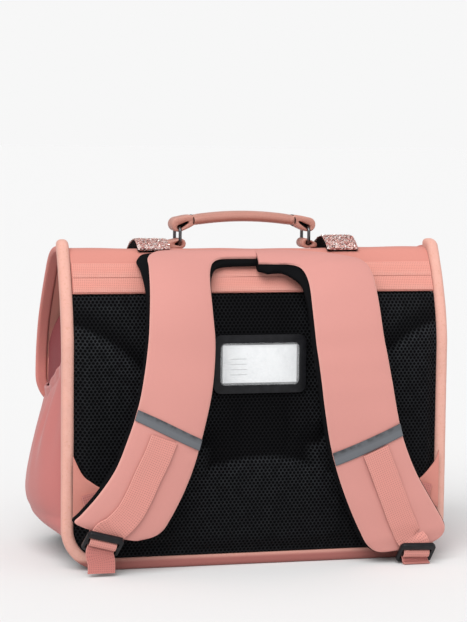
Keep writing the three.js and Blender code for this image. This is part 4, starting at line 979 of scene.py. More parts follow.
# %% Strap tapes
tapes = {"left": (10.02, 10.36, 11.14, 11.50), "right": (10.90, 11.40, 11.77, 12.30)}
for name, (outer_top, outer_end, inner_top, inner_end) in tapes.items():
    places = np.linspace(-1.0, 1.0, 41)
    share = (places + 1) / 2
    top = outer_top + (inner_top - outer_top) * share
    end = outer_end + (inner_end - outer_end) * share
    rows, wear_and_highlight = [], []
    for across, lift in ((0.0, 0.1), (0.0, 1.0), (0.12, 1.25), (0.5, 1.3), (0.88, 1.25), (1.0, 1.0), (1.0, 0.1)):
        station = top + (end - top) * across
        bent = strap_relief(name, station, places * 0.9) * 0.5
        point, _ = strap_point(name, station, places, crown(places) + lift + bent)
        rows.append(point)
        wear_and_highlight.append(np.full_like(places, 1.0 if across in (0.0, 0.12) else 0.0 if across < 0.9 else 0.6))
    tape = skin(f"strap_tape_{name}", np.stack(rows, 1), wear_and_highlight=np.stack(wear_and_highlight, 1))
    settle(tape, "reflective tape", "grey_tape", f"strap_reflector_{name}")

# %% [markdown]
# Webbing: woven bands that keep one width. One is sewn on each strap and turns round the lock's top
# bar, the other comes from the corner wing, passes the lock and ends in a tail. We lay a smooth path
# through a few points, all of them places in the lock's own frame or on the strap.

# %% Lock frames
locks = {"left": (0.814, 0.131, 15, 42, 9), "right": (0.789, 0.063, 2, 42, 12)}
LOCK_WIDTH, LOCK_HEIGHT, LOCK_THICK, LOCK_BAR, LOCK_SLOT = 35.0, 23.0, 4.0, 4.0, 5.4


def lock_frame(name):
    x, z, turn, pitch, stand = locks[name]
    spin = Matrix.Rotation(math.radians(turn), 3, "Y") @ Matrix.Rotation(math.radians(90 + pitch), 3, "X")
    across, rise, out = (np.array(spin @ Vector(axis)) for axis in ((1, 0, 0), (0, 1, 0), (0, 0, 1)))
    top = np.array([signs[name] * x * HALF, float(fall_depth(z * HEIGHT)) - stand, z * HEIGHT])
    return top - rise * LOCK_HEIGHT / 2, across, rise, out


def lock_points(name, bar, places):
    middle, _, rise, out = lock_frame(name)
    return [middle + rise * (bar + u) + out * v for u, v in places]


# %% Webbing
AWAY = LOCK_THICK / 2 + 0.6 + 0.8
SLOT_MIDDLE = LOCK_BAR / 2 + LOCK_SLOT / 2
webbing_lines = {
    "left": [(0.531, 0.428), (0.561, 0.379), (0.611, 0.311), (0.653, 0.250), (0.705, 0.193), (0.763, 0.157)],
    "right": [(0.549, 0.372), (0.588, 0.316), (0.653, 0.220), (0.712, 0.136), (0.757, 0.086)],
}
behind_lock = {"left": ((8.0, -7.6), (5.6, -4.7)), "right": ((0.6, -8.2), (3.3, -5.0))}
tails = {"left": (0.826, True, ((-0.150, 0.045), (-0.150, 0.012))),
         "right": (0.792, False, ((-0.164, 0.0078), (-0.189, 0.005)))}
band = rounded_section(26.0, 1.8, 0.8, 14, 3)
band_wear = (np.abs(band[:, 0]) > 12.2).astype(float)


for name, line in webbing_lines.items():
    sign = signs[name]
    _, across, _, _ = lock_frame(name)
    on_strap = []
    for x, z in line:
        y, out = strap_face(np.array(z * HEIGHT))
        on_strap.append(np.array([sign * x * HALF, y, z * HEIGHT]) + out * (2.4 + 0.9 + 0.9))
    bar = LOCK_HEIGHT / 2 - LOCK_BAR / 2
    middle_bar = LOCK_BAR + LOCK_SLOT
    turn = lock_points(name, bar, [(-1, -AWAY - 1.3), (-SLOT_MIDDLE, -AWAY * 0.4), (-SLOT_MIDDLE, AWAY * 0.4),
                                   (1.6 - middle_bar, AWAY), (-0.8 - middle_bar, AWAY)])
    points = np.array(on_strap + turn)
    along = np.gradient(points, axis=0)
    square = unit(np.stack([np.abs(along[:, 2]), 0 * along[:, 0], along[:, 0] * np.sign(-along[:, 2])], 1))
    share = ease(np.arange(len(points)) / len(on_strap))[:, None]
    guides = unit(square * (1 - share) + across * share)
    chord = np.concatenate([[0], np.cumsum(np.linalg.norm(np.diff(points, axis=0), axis=1))])
    path = smooth_path(points, 120)
    reach = np.concatenate([[0], np.cumsum(np.linalg.norm(np.diff(path, axis=0), axis=1))])
    at = reach / reach[-1] * chord[-1]
    guide = np.stack([np.interp(at, chord, guides[:, k]) for k in range(3)], 1)
    piece = sweep(f"strap_band_{name}", path, guide, band, wear_and_highlight=np.tile(band_wear, (len(path), 1)))
    settle(piece, "ribbed webbing", "pink_cloth", f"strap_webbing_{name}")

for name, (tail_x, over_bar, tail_path) in tails.items():
    sign = signs[name]
    _, across, _, _ = lock_frame(name)
    y = BACK - 5 - 2.4 - 0.6 - 0.8
    start = [np.array([sign * 0.845 * HALF, y, 0.250 * HEIGHT]),
             np.array([sign * 0.818 * HALF, y - 2.5, 0.185 * HEIGHT])]
    bar = -LOCK_HEIGHT / 2 + LOCK_BAR / 2
    places = [*behind_lock[name], (SLOT_MIDDLE, -AWAY * 0.4), (SLOT_MIDDLE, AWAY * 0.4)]
    places += [(1.6, AWAY + 0.2)] if over_bar else []
    passed = lock_points(name, bar, places)
    end = [np.array([sign * tail_x * HALF, BACK + depth * DEPTH, rise * HEIGHT]) for depth, rise in tail_path]
    points = np.array(start + passed + end)
    level = np.array([1.0, 0, 0])
    guides = np.array([level] * len(start) + [across] * len(passed) + [level] * len(end))
    chord = np.concatenate([[0], np.cumsum(np.linalg.norm(np.diff(points, axis=0), axis=1))])
    path = smooth_path(points, 110)
    reach = np.concatenate([[0], np.cumsum(np.linalg.norm(np.diff(path, axis=0), axis=1))])
    guide = np.stack([np.interp(reach / reach[-1] * chord[-1], chord, guides[:, k]) for k in range(3)], 1)
    piece = sweep(f"lower_band_{name}", path, guide, band, wear_and_highlight=np.tile(band_wear, (len(path), 1)))
    settle(piece, "shaded webbing", "deep_pink", f"lower_webbing_{name}")

# %% [markdown]
# Hard CAD solids whose shape is right stay, and only get a material. Their sharp edges are softened
# in a copy: a bevel catches the light as a moulded or bent edge does. The copy also gets simple flat
# texture coordinates and a wear value on its bevelled edges.

# %% Softened copies of CAD solids


def soft_copy(node, name, bevel, material, slot, segments=2, angle=35):
    piece = bpy.data.objects.new(name, nodes[node].data.copy())
    bpy.context.scene.collection.objects.link(piece)
    weld = piece.modifiers.new("weld", "WELD")
    weld.merge_threshold = 0.00002
    edge = piece.modifiers.new("bevel", "BEVEL")
    edge.width, edge.segments, edge.limit_method = bevel * MM, segments, "ANGLE"
    edge.angle_limit = math.radians(angle)
    shown = piece.evaluated_get(bpy.context.evaluated_depsgraph_get())
    mesh = bpy.data.meshes.new_from_object(shown)
    piece.modifiers.clear()
    piece.data = mesh
    for layer in list(mesh.uv_layers):
        mesh.uv_layers.remove(layer)
    co = np.array([mesh.vertices[loop.vertex_index].co[:] for loop in mesh.loops])
    mesh.uv_layers.new(name="cloth").data.foreach_set("uv", co[:, (0, 2)].astype(np.float32).ravel())
    small = np.zeros(len(mesh.vertices), np.float32)
    limit = (bevel * MM) ** 2 * 3
    for polygon in mesh.polygons:
        if polygon.area < limit:
            small[list(polygon.vertices)] = 1
    mesh.attributes.new("wear_and_highlight", "FLOAT", "POINT").data.foreach_set("value", small)
    mesh.shade_smooth()
    mesh.set_sharp_from_angle(angle=math.radians(40))
    return settle(piece, material, slot, node)


for name in ("left", "right"):
    soft_copy(f"ladder_lock_{name}", f"lock_{name}", 0.7, "black plastic", "black_plastic")
    soft_copy(f"clasp_{name}", f"front_clasp_{name}", 1.6, "dark metal", "dark_metal", 3)
soft_copy("card_frame", "window_frame", 0.9, "black plastic", "black_plastic", 3, 30)
soft_copy("back_board", "board", 0.8, "black padding", "black_cloth")

# %% [markdown]
# The corner wings are three-cornered cloth patches with a slightly hollow upper edge, because the
# lower webbing pulls on their tip. Each is a thin skin whose top and bottom edges follow two curves.

# %% Wings
wing_tops = {"left": [0.258, 0.262, 0.279, 0.306, 0.344, 0.364], "right": [0.236, 0.242, 0.261, 0.292, 0.322, 0.348]}
for name, tops in wing_tops.items():
    top_edge = through([0.79, 0.811, 0.855, 0.904, 0.936, 0.95], tops)
    low_edge = through([0.79, 0.903, 0.95], [0.200, 0.181, 0.163])
    rows = []
    for x in np.linspace(0.79, 0.95, 26):
        high, low = float(top_edge(x)) * HEIGHT, float(low_edge(x)) * HEIGHT
        zs = np.linspace(high, low, 16)
        front_y = BACK - 5.3 - 2.4 + 0.7 * (np.abs(np.linspace(-1, 1, 16)) > 0.95) - 0.25 * waves(zs, x * 90, 3, 4, 22.0)
        ys = np.concatenate([front_y, np.full(16, BACK - 5.3)])
        rows.append(np.stack([np.full(32, signs[name] * x * HALF), ys, np.concatenate([zs, zs[::-1]])], 1))
    wing = skin(f"wing_{name}", rows)
    settle(wing, "flap fabric", "pink_cloth", f"corner_wing_{name}")

# %% [markdown]
# The card pocket: a plain card with ruled lines, behind a clear film that is never
# quite flat.

# %% Card and window
card_low, card_high = (np.array(corner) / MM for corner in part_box("card"))


def plate(name, low, high, face_y, back_y, bulge, columns=25, rows=15):
    xs, zs = np.linspace(low[0], high[0], columns), np.linspace(low[2], high[2], rows)
    grid = np.zeros((rows, 2 * columns, 3))
    for i, z in enumerate(zs):
        v = (z - low[2]) / (high[2] - low[2]) * 2 - 1
        u = np.linspace(-1, 1, columns)
        swell = bulge * (1 - u**4) * (1 - v**4)
        grid[i, :columns] = np.stack([xs, face_y - swell, np.full(columns, z)], 1)
        grid[i, columns:] = np.stack([xs[::-1], np.full(columns, back_y) - swell[::-1], np.full(columns, z)], 1)
    return skin(name, grid)


card = plate("pocket_card", card_low, card_high, card_low[1], card_high[1], 0.0)
settle(card, "printed card", "plain_card", "card")
film_low, film_high = (np.array(corner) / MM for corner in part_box("card_window"))
film = plate("pocket_film", film_low, film_high, film_low[1], film_high[1], 0.8)
settle(film, "clear film", "clear_film", "card_window")

# %% [markdown]
# The flap is one long padded panel. Its strap side is a band with two rows of ribbed weave, its top
# rolls over to the front and hangs to the lip. The skin carries small swells, so the light breaks on
# it as it does on cloth stretched over foam, and ridges for the ribbed rows.

# %% Flap
FLAP_INSET = 11.8
FLAP_EDGE_X = HALF - FLAP_INSET - 0.6


def flap_half(from_lip, inset):
    return outline_half(from_lip, inset, HALF, 38.0)


def band_rows(distance):
    """1 in the two ribbed rows of the band, 0 elsewhere."""
    z = np.interp(distance, flap_reach[: crest + 1], flap_line[: crest + 1, 1])
    first = ease((z - 262) / 0.8) * ease((272.5 - z) / 0.8)
    second = ease((z - 274.5) / 0.8) * ease((286.5 - z) / 0.8)
    return np.where(distance < flap_reach[crest], first + second, 0)


def flap_relief(distance, x):
    puff = 0.5 * waves(distance, x, 21, 5, 60.0)
    seam = -0.25 * bump_at(distance, flap_climb(273.5), 1.0) - 0.25 * bump_at(distance, flap_climb(287.5), 1.0)
    return puff * ease(distance / 40) + 0.35 * band_rows(distance) + seam


distances = np.unique(np.concatenate([np.linspace(0, 34, 90), np.linspace(34, FLAP_LENGTH - FLAP_INSET, 150)]))
places = np.linspace(-1, 1, 73)
half_widths = flap_half(FLAP_LENGTH - distances, FLAP_INSET)[:, None]
x = places[None] * half_widths
top, _ = flap_at(distances[:, None], x, flap_relief(distances[:, None], x))
under, _ = flap_at(distances[:, None], x[:, ::-1], -3.0)
cover = skin("flap_cover", np.concatenate([top, under], 1))
settle(cover, "flap fabric", "pink_cloth", "flap")
print("flap cover:", len(cover.data.polygons), "faces")

# %% [markdown]
# Two rows of ribbed tape are sewn over the lower half of the band. Each is a thin skin on the flap,
# and their lower edge is a little wavy, as a sewn edge is.

# %% Band tapes
for label, low, high in (("lower", 262.4, 275.5), ("upper", 275.8, 289.0)):
    xs = np.linspace(-FLAP_EDGE_X, FLAP_EDGE_X, 121)
    rows, wear_and_highlight = [], []
    for across, lift in ((0.0, 0.1), (0.0, 0.75), (0.06, 1.0), (0.5, 1.05), (0.94, 1.0), (1.0, 0.75), (1.0, 0.1)):
        z = low + (high - low) * across + 0.3 * waves(xs, 0, 17, 4, 70.0) * (1 - across)
        place = flap_climb(z)
        point, _ = flap_at(place, xs, flap_relief(place, xs) + lift)
        rows.append(point)
        wear_and_highlight.append(np.full_like(xs, 1.0 if across < 0.1 else 0.4 if across > 0.9 else 0.0))
    strip = skin(f"band_tape_{label}", np.stack(rows, 1), wear_and_highlight=np.stack(wear_and_highlight, 1))
    settle(strip, "band weave", "pink_cloth")

# %% [markdown]
# Rounded binding tape runs round the back panel and on round the flap. It is a folded tape over a
# foam cord, sewn near its inner edge; here it is a fat oval section, never perfectly straight.

# %% Back binding
BIND, BIND_THICK = 11.5, MESH_BACK + 5.3 - BACK + 2
half_rows = []
for turn in np.linspace(1.0, 0.12, 8):
    z = 0.99 * HEIGHT + 1.6 * math.sin(turn * 2.2)
    half_rows.append((HALF - BIND / 2 - 0.8 * turn, z, 1.0, 0.0, lean_at(0.99 * HEIGHT) + 8.5 * turn))
for share in np.linspace(0.99, 0.19, 90):
    z = share * HEIGHT
    half_rows.append((HALF - BIND / 2, z, 1.0, 0.0, lean_at(z)))
for turn in np.linspace(0, np.pi / 2, 26):
    radius = CORNER - BIND / 2
    half_rows.append((HALF - CORNER + radius * np.cos(turn), CORNER - radius * np.sin(turn), np.cos(turn),
                      -np.sin(turn), 0.0))
half_rows = np.array(half_rows)
flat_run = np.linspace(1, -1, 60)[1:-1, None] * (HALF - CORNER)
right = half_rows
left = half_rows[::-1] * (-1, 1, -1, 1, 1)
bottom = np.concatenate([flat_run, np.tile([[BIND / 2, 0.0, -1.0, 0.0]], (len(flat_run), 1))], 1)
line = np.concatenate([right, bottom, left])
middle_y = (BACK - 2 + MESH_BACK + 5.3) / 2
path = np.stack([line[:, 0], middle_y + line[:, 4], line[:, 1]], 1)
across = np.stack([line[:, 2], np.zeros(len(line)), line[:, 3]], 1)
run = np.arange(len(line))
oval = rounded_section(BIND, BIND_THICK, 4.6, 3, 6)
sections = np.tile(oval, (len(line), 1, 1))
sections = sections * (1 + 0.012 * waves(run[:, None] * 2.2, 0, 8, 5, 11.0)[..., None])
wear_and_highlight = np.tile(np.clip(oval[:, 1] / BIND_THICK * 2, 0, 1) ** 4 * 0.5, (len(line), 1))
rim = sweep("back_rim", path, across, sections, wear_and_highlight=wear_and_highlight)
settle(rim, "binding tape", "edge_tape", "back_binding")

# %% Flap binding
start = flap_over(BACK + LEAN + 4)
edge_distances = np.concatenate([np.linspace(start, FLAP_LENGTH - 38, 110),
                                 FLAP_LENGTH - 38 + (38 - 5.75) * np.sin(np.linspace(0, np.pi / 2, 20))[1:]])
edge_x = flap_half(FLAP_LENGTH - edge_distances, 5.75)
side_points, side_normals = flap_at(edge_distances, edge_x, -1.5)
flat_x = np.linspace(edge_x[-1], -edge_x[-1], 60)[1:-1]
lip_points, lip_normals = flap_at(np.full(len(flat_x), edge_distances[-1]), flat_x, -1.5)
points = np.concatenate([side_points, lip_points, (side_points * (-1, 1, 1))[::-1]])
normals = np.concatenate([side_normals, lip_normals, side_normals[::-1]])
across = unit(np.cross(np.gradient(points, axis=0), normals))
flap_rim = sweep("flap_rim", points, across, rounded_section(11.5, 6.0, 2.6, 3, 5))
settle(flap_rim, "shaded binding tape", "edge_tape", "flap_binding")

# %% [markdown]
# The back is black spacer mesh over foam pads. Two side pads and a domed lower one rise from it, and
# a flat strip in the middle carries the card pocket. We measure each pad's edge by an arc read from
# the photograph and let the foam rise softly behind it.

# %% Back mesh
arc_x = [-180, -172, -141, -120, -112, -95, -60]
arc_z = [236, 233, 217, 199, 190, 165, 118]
side_arc = through(arc_x, arc_z)
dome_arc = through([-75, -56, -34, -6, 31, 46, 68, 90], [84, 96, 102, 106.5, 104.5, 100, 92, 80])


def pad_height(x, z):
    """Foam under the mesh, from 0 to 1."""
    side = ease((side_arc(-np.abs(x)) - z) / 9) * ease((np.abs(x) - 46) / 10)
    side = side * ease((z - 20) / 12) * ease((HALF - 12 - np.abs(x)) / 12)
    dome = ease((dome_arc(x) - z) / 8) * ease((78 - np.abs(x - 4)) / 14) * ease((z - 14) / 14)
    upper = 0.35 * ease((z - side_arc(-np.abs(x)) - 4) / 16) * ease((np.abs(x) - 50) / 12)
    upper = upper * ease((HALF - 14 - np.abs(x)) / 14) * ease((254 - z) / 12)
    return np.maximum(np.maximum(side, dome), upper)


def channel(x, z):
    return 1.2 * (bump_at(x, -17, 5) + bump_at(x, 30, 5)) * ease((166 - z) / 20) * ease((z - 104) / 14)


def mesh_face(x, z):
    swell = 5.6 * pad_height(x, z) - channel(x, z) + 0.25 * waves(x, z, 4, 5, 50.0)
    fade = ease((outline_half(z, 11.8) - np.abs(x)) / 8) * ease((z - 12) / 8)
    return BACK + lean_at(z) - swell * fade


arc_turns = np.linspace(0, np.pi / 2, 14)
zs = np.concatenate([CORNER - (CORNER - 11.8) * np.cos(arc_turns), np.linspace(CORNER, 0.855 * HEIGHT - 2, 130)[1:]])
places = np.linspace(-1, 1, 181)
x = places[None] * outline_half(zs, 11.8)[:, None]
z = np.broadcast_to(zs[:, None], x.shape)
front = np.stack([x, mesh_face(x, z), z], -1)
rear = np.stack([x[:, ::-1], np.full_like(x, MESH_BACK) + lean_at(z), z], -1)


def painted_pad_highlights(x, z):
    """Painted light on the mesh: a highlight just inside each pad's edge, and painted shade along the edge itself."""
    below = side_arc(-np.abs(x)) - z
    side = ease(below / 6) * (0.25 + 0.75 * np.exp(-np.clip(below, 0, None) / 38)) * ease((np.abs(x) - 44) / 14)
    above = 0.5 * ease(-below / 30) * ease((np.abs(x) - 20) / 40)
    under_dome = dome_arc(x) - z
    dome = ease(under_dome / 5) * (0.25 + 0.6 * np.exp(-np.clip(under_dome, 0, None) / 26)) * ease((84 - np.abs(x - 4)) / 12)
    return np.clip(np.maximum(np.maximum(side, above), dome), 0, 1)


# Painted highlights and shade along the pads' edges go into the mesh's wear and highlight values.
pad_highlight_values = np.concatenate([painted_pad_highlights(x, z), np.zeros_like(x)], 1)
padding = skin("back_padding", np.concatenate([front, rear], 1), wear_and_highlight=pad_highlight_values)
loop_points = np.array([padding.data.vertices[l.vertex_index].co[:] for l in padding.data.loops])
padding.data.uv_layers["cloth"].data.foreach_set("uv", loop_points[:, (0, 2)].astype(np.float32).ravel())
settle(padding, "spacer mesh", "black_mesh", "back_mesh_pad")
print("back mesh:", len(padding.data.polygons), "faces")

# %% [markdown]
# The body is a stiff tub whose side gussets fold inwards behind the flap. We rebuild its walls as
# one cloth skin that follows the CAD tub, and add the vertical folds that the photograph shows at
# the rear of the gusset.

# %% Body
RIM_GAP = 15.0


def rim_height(y):
    high = flap_line[:, 1] > 0.5 * HEIGHT
    order = np.argsort(flap_line[high, 0])
    return np.interp(y, flap_line[high, 0][order], flap_line[high, 1][order]) - RIM_GAP


def tub_grid(inset):
    radius = CORNER - 2.8
    turns = np.concatenate([np.linspace(0, 1, 9), np.linspace(1, 2, 46)[1:]])
    ring = [(x, 1.0) for x in np.linspace(-0.985, 0.985, 41)]
    ring += [(1.0, d) for d in np.linspace(0.98, 0.02, 49)]
    ring += [(x, 0.0) for x in np.linspace(0.985, -0.985, 41)]
    ring += [(-1.0, d) for d in np.linspace(0.02, 0.98, 49)]
    share, depth = (np.array(column)[None] for column in zip(*ring))
    level = turns[:, None]
    nominal = BODY_BACK + (BODY_FRONT - BODY_BACK) * depth
    rim = rim_height(nominal + (1 - depth) * LEAN * 0.8)
    turn = np.clip(level, 0, 1) * np.pi / 2
    low = CORNER - (radius - inset) * np.cos(turn)
    z = np.where(level <= 1, low, CORNER + (rim - CORNER) * (level - 1))
    recess = 14 * np.sin(depth * np.pi) * ease((z / HEIGHT - 0.5) / 0.3)
    fold = 5 * bump_at(depth, 0.14, 0.07) * ease((z / HEIGHT - 0.64) / 0.08) * ease((0.9 - z / HEIGHT) / 0.1)
    fine_folds = 1.6 * np.sin(depth * 95) * bump_at(depth, 0.16, 0.12) * ease((z - 165) / 30) * ease((285 - z) / 30)
    fine_folds = fine_folds + 0.7 * waves(depth * 150, z * 0.35, 14, 5, 26.0) * ease((z - 40) / 60)
    half = BODY_HALF - radius + (radius - inset) * np.sin(turn)
    x = share * (half - np.abs(share) ** 8 * (recess - fold - fine_folds))
    back = BODY_BACK + lean_at(z) + inset
    y = back + (BODY_FRONT - inset - back) * depth
    return np.stack([x, y, z], -1)


outer, inner = tub_grid(0.0), tub_grid(2.5)[::-1]
tub = skin("cloth_tub", np.concatenate([outer, inner]))
# The tub's cloth carries painted shade, darkened for the gap between flap and body.
settle(tub, "shaded gusset fabric", "pink_cloth", "bag_body")
print("tub:", len(tub.data.polygons), "faces")

# %% [markdown]
# Side pockets are bags of thinner cloth gathered at the hem by elastic. The cloth falls in soft
# folds that run from the hem to the fullest point, deepest near the strap side.

# %% Side pockets
pocket_rows = np.array([
    (0.00, 0.02, 0.0), (0.04, 0.34, 0.0), (0.09, 0.56, 0.0), (0.17, 0.79, 0.1), (0.27, 0.89, 0.2),
    (0.37, 0.88, 0.3), (0.50, 0.80, 0.5), (0.64, 0.67, 0.8), (0.76, 0.52, 1.0), (0.87, 0.37, 1.0),
    (0.94, 0.29, 0.8), (1.00, 0.25, 0.6)])
bulge_curve, gather_curve = (through(pocket_rows[:, 0], pocket_rows[:, k]) for k in (1, 2))
POCKET_BULGE, POCKET_LOW, POCKET_TOP = 35.0, 26.0, 184.0


def pocket_grid(sign, seed):
    share = np.linspace(0, 1, 110)[None]
    rise = np.linspace(0, 1, 120)[:, None]
    top = POCKET_TOP + 17 * (1 - share) ** 2 - 24 * ease((share - 0.04) / 0.6)
    z = POCKET_LOW + (top - POCKET_LOW) * rise
    foot = 0.3 + 3.1 * ease((48 - z) / 11)
    round_off = 1 - np.abs(2 * share - 1) ** 2.6
    gathers = np.cos(share * 5 * 2 * np.pi + 0.6 * np.sin(rise * 5)) * 1.2 * gather_curve(rise) * round_off
    slant = share * 150 + (rise - 0.4) * 60
    creases = 1.1 * waves(slant * 0.8, rise * 30, seed, 5, 34.0) * ease((rise - 0.05) / 0.25) * ease((1.02 - rise) / 0.12)
    fan = share - 0.05 - 0.16 * (1 - rise)
    creases = creases - 3.4 * bump_at(fan, 0.0, 0.045) * ease((rise - 0.3) / 0.4)
    creases = creases - 2.6 * bump_at(share - 0.2 - 0.34 * (1 - rise), 0.0, 0.05) * ease((rise - 0.4) / 0.4)
    creases = creases + 2.2 * bump_at(share - 0.12 - 0.24 * (1 - rise), 0.0, 0.05) * ease((rise - 0.3) / 0.4)
    hem = 0.9 * bump_at(rise, 0.985, 0.012) - 1.2 * bump_at(rise, 0.93, 0.016)
    stand = POCKET_BULGE * bulge_curve(rise) * round_off + gathers + (creases + hem) * round_off
    y = (BODY_BACK + 3) + (BODY_FRONT - 8 - BODY_BACK - 3) * share
    x = BODY_HALF + foot + stand
    outer = np.stack([sign * (x + 1.8), y + 0 * x, z + 0 * x], -1)
    inner = np.stack([sign * x, y + 0 * x, z + 0 * x], -1)
    return np.concatenate([outer, inner[:, ::-1]], 1)


for name, sign in signs.items():
    grid = pocket_grid(sign, 31 if sign < 0 else 47)
    pocket = skin(f"pocket_{name}", grid)
    pocket = settle(pocket, "pocket fabric", "deep_pink", f"side_pocket_{name}")
    print(pocket.name, len(pocket.data.polygons), "faces")

# %% [markdown]
# Base and front edge: a tough black strip wraps the round lower corners, with a grey reflective
# strip at each end, and a thin tape edges the front.

# %% Base and front edge
soft_copy("base_panel", "base_strip", 0.6, "black padding", "black_cloth")
for name in ("left", "right"):
    soft_copy(f"base_reflector_{name}", f"base_tape_{name}", 0.3, "reflective tape", "grey_tape")
soft_copy("front_binding", "front_rim", 0.8, "shaded binding tape", "edge_tape", 3)

# %% [markdown]
# Glitter straps run from the yoke over the top to the front clasps. Under each lies a thick black
# webbing whose rolled side shows. The glitter face is a skin, and the flakes are thousands of tiny
# tilted plates with a seeded order, so they sparkle in any view.

# %% Glitter straps
GLITTER_X, GLITTER_WIDTH, TONGUE = {-1: 97.0, 1: 91.0}, 31.5, 20.0
line_start = flap_over(BACK + LEAN - 1)
arch_top, arch_flat = flap_over(BACK + 0.30 * DEPTH), flap_over(BACK + 0.6 * DEPTH)
along = np.concatenate([np.linspace(line_start, arch_flat, 60), np.linspace(arch_flat, FLAP_LENGTH + TONGUE, 110)[1:]])
rise = ease((along - line_start) / (arch_top - line_start)) * ease((arch_flat - along) / (arch_flat - arch_top))
arches = {"left": 4.6 * rise, "right": 7.6 * rise}
flake_rng = np.random.default_rng(7)


def strap_layer(name, sign, arch, low, high, low_arch, high_arch, edge):
    """A flat strap on the flap between two lifts, with round edges."""
    across = np.concatenate([np.linspace(-1, 1, 15), np.linspace(1, -1, 15)[1:-1]])
    top = np.arange(len(across)) < 15
    x = sign * GLITTER_X[sign] + across * GLITTER_WIDTH / 2
    lift = np.where(top[None], high + arch[:, None] * high_arch, low + arch[:, None] * low_arch)
    lift = lift - edge * (np.abs(across)[None] > 0.98) * top[None]
    grid, _ = flap_at(along[:, None], x[None] + 0 * lift, lift)
    return skin(name, grid)


def scatter_flakes(name, sign, arch, lift, count):
    """Tiny six-sided plates, each tilted its own way."""
    distance = flake_rng.uniform(along[0] + 1, along[-1] - 1, count)
    x = sign * GLITTER_X[sign] + flake_rng.uniform(-0.97, 0.97, count) * GLITTER_WIDTH / 2
    height = lift + np.interp(distance, along, arch) + flake_rng.uniform(0.0, 0.35, count)
    centre, normal = flap_at(distance, x, height)
    tilt = unit(normal + flake_rng.normal(0, 0.38, (count, 3)))
    first = unit(np.cross(tilt, flake_rng.normal(size=(count, 3))))
    second = np.cross(tilt, first)
    size = flake_rng.uniform(0.35, 0.85, count)[:, None]
    turns = np.arange(6) * np.pi / 3
    corners = [centre + size * (first * np.cos(a) + second * np.sin(a)) for a in turns]
    points = np.stack(corners, 1).reshape(-1, 3)
    faces = [tuple(range(6 * i, 6 * i + 6)) for i in range(count)]
    return build_mesh(name, points, faces, np.zeros((6 * count, 2)))


for name, sign in signs.items():
    arch = arches[name]
    backing = strap_layer(f"glitter_web_{name}", sign, arch, 0.45, 2.25, 0, 1, 0.4)
    settle(backing, "black padding", "black_cloth", f"glitter_backing_{name}")
    face = strap_layer(f"glitter_face_{name}", sign, arch, 2.5, 4.5, 1, 1, 0.7)
    settle(face, "glitter cloth", "glitter", f"glitter_strap_{name}")
    flakes = scatter_flakes(f"glitter_flakes_{name}", sign, arch, 4.5, 5200)
    settle(flakes, "glitter flakes", "glitter")

# %% [markdown]
# The carrying handle: a leather grip rolled round a core, with stitched loops that hold two dark
# rings, which hang in short leather anchors on the flap's top.

# %% Handle
grip_low, grip_high = (np.array(corner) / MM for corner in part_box("handle_grip"))
ring_low, ring_high = (np.array(corner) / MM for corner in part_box("handle_ring_right"))
RING_Y = (ring_low[1] + ring_high[1]) / 2
RING_FOOT, RING_TOP = ring_low[2], ring_high[2]
GRIP_END, GRIP_HEIGHT, GRIP_WIDTH = 51.0, 10.4, 25.0
grip_middle = RING_TOP - 1.6 + 7
xs = np.linspace(-GRIP_END, GRIP_END, 90)
path = np.stack([xs, np.full_like(xs, RING_Y), grip_middle + 4 * (1 - (xs / GRIP_END) ** 2)], 1)
turns = np.linspace(0, 2 * np.pi, 40, endpoint=False)
oval = np.stack([GRIP_WIDTH / 2 * np.sign(np.cos(turns)) * np.abs(np.cos(turns)) ** 0.75,
                 GRIP_HEIGHT / 2 * np.sign(np.sin(turns)) * np.abs(np.sin(turns)) ** 0.85], 1)
swell = 1 - 0.1 * bump_at(np.abs(xs), GRIP_END, 2.5) - 0.05 * bump_at(np.abs(xs), GRIP_END - 5, 1.0)
sections = oval[None] * swell[:, None, None]
wear_and_highlight = np.tile((np.sin(turns) > 0.6) * 0.6, (len(xs), 1)) + 0.4 * bump_at(np.abs(xs), GRIP_END, 3)[:, None]
grip = sweep("grip", path, (0, 1, 0), sections, wear_and_highlight=wear_and_highlight)
settle(grip, "handle leather", "pink_leather", "handle_grip")
for node in ("handle_ring_left", "handle_ring_right"):
    sign = -1 if node.endswith("left") else 1
    w, h, bend = (29 - 3.2) / 2, (RING_TOP - RING_FOOT - 3.2) / 2, 4.0
    corner_points = []
    for u, v, begin in ((1, -1, -90), (1, 1, 0), (-1, 1, 90), (-1, -1, 180)):
        for turn in np.radians(np.linspace(begin, begin + 90, 9)):
            corner_points.append((sign * 65.0, RING_Y + u * (w - bend) + bend * np.cos(turn),
                                  (RING_FOOT + RING_TOP) / 2 + v * (h - bend) + bend * np.sin(turn)))
    wire = np.stack([1.6 * np.cos(turns[::3]), 1.6 * np.sin(turns[::3])], 1)
    ring = sweep(f"ring_{node[12:]}", corner_points, (1, 0, 0), wire, closed=True)
    settle(ring, "dark metal", "dark_metal", node)

# %% [markdown]
# The leather loops are straps folded round the rings and sewn flat, so from the side each is a thick
# drop shape with a small dark eye. We draw the drop and the eye as outlines seen from one middle
# point, and run a rounded band between them all the way round. A black plug in each eye, round the
# ring, is painted shade.

# %% Leather loops


def reach_of(circles, centre, angles):
    """Distance from a middle point to the outline round some circles, in each direction."""
    ring = np.linspace(0, 2 * np.pi, 60, endpoint=False)
    cloud = np.concatenate([np.stack([x + r * np.cos(ring), z + r * np.sin(ring)], 1) for x, z, r in circles])
    normals = np.stack([np.cos(ring), np.sin(ring)], 1)
    support = (cloud @ normals.T).max(0) - normals @ np.asarray(centre)
    facing = np.stack([np.cos(angles), np.sin(angles)], 1) @ normals.T
    return np.where(facing > 1e-3, support / np.maximum(facing, 1e-3), 1e9).min(1)


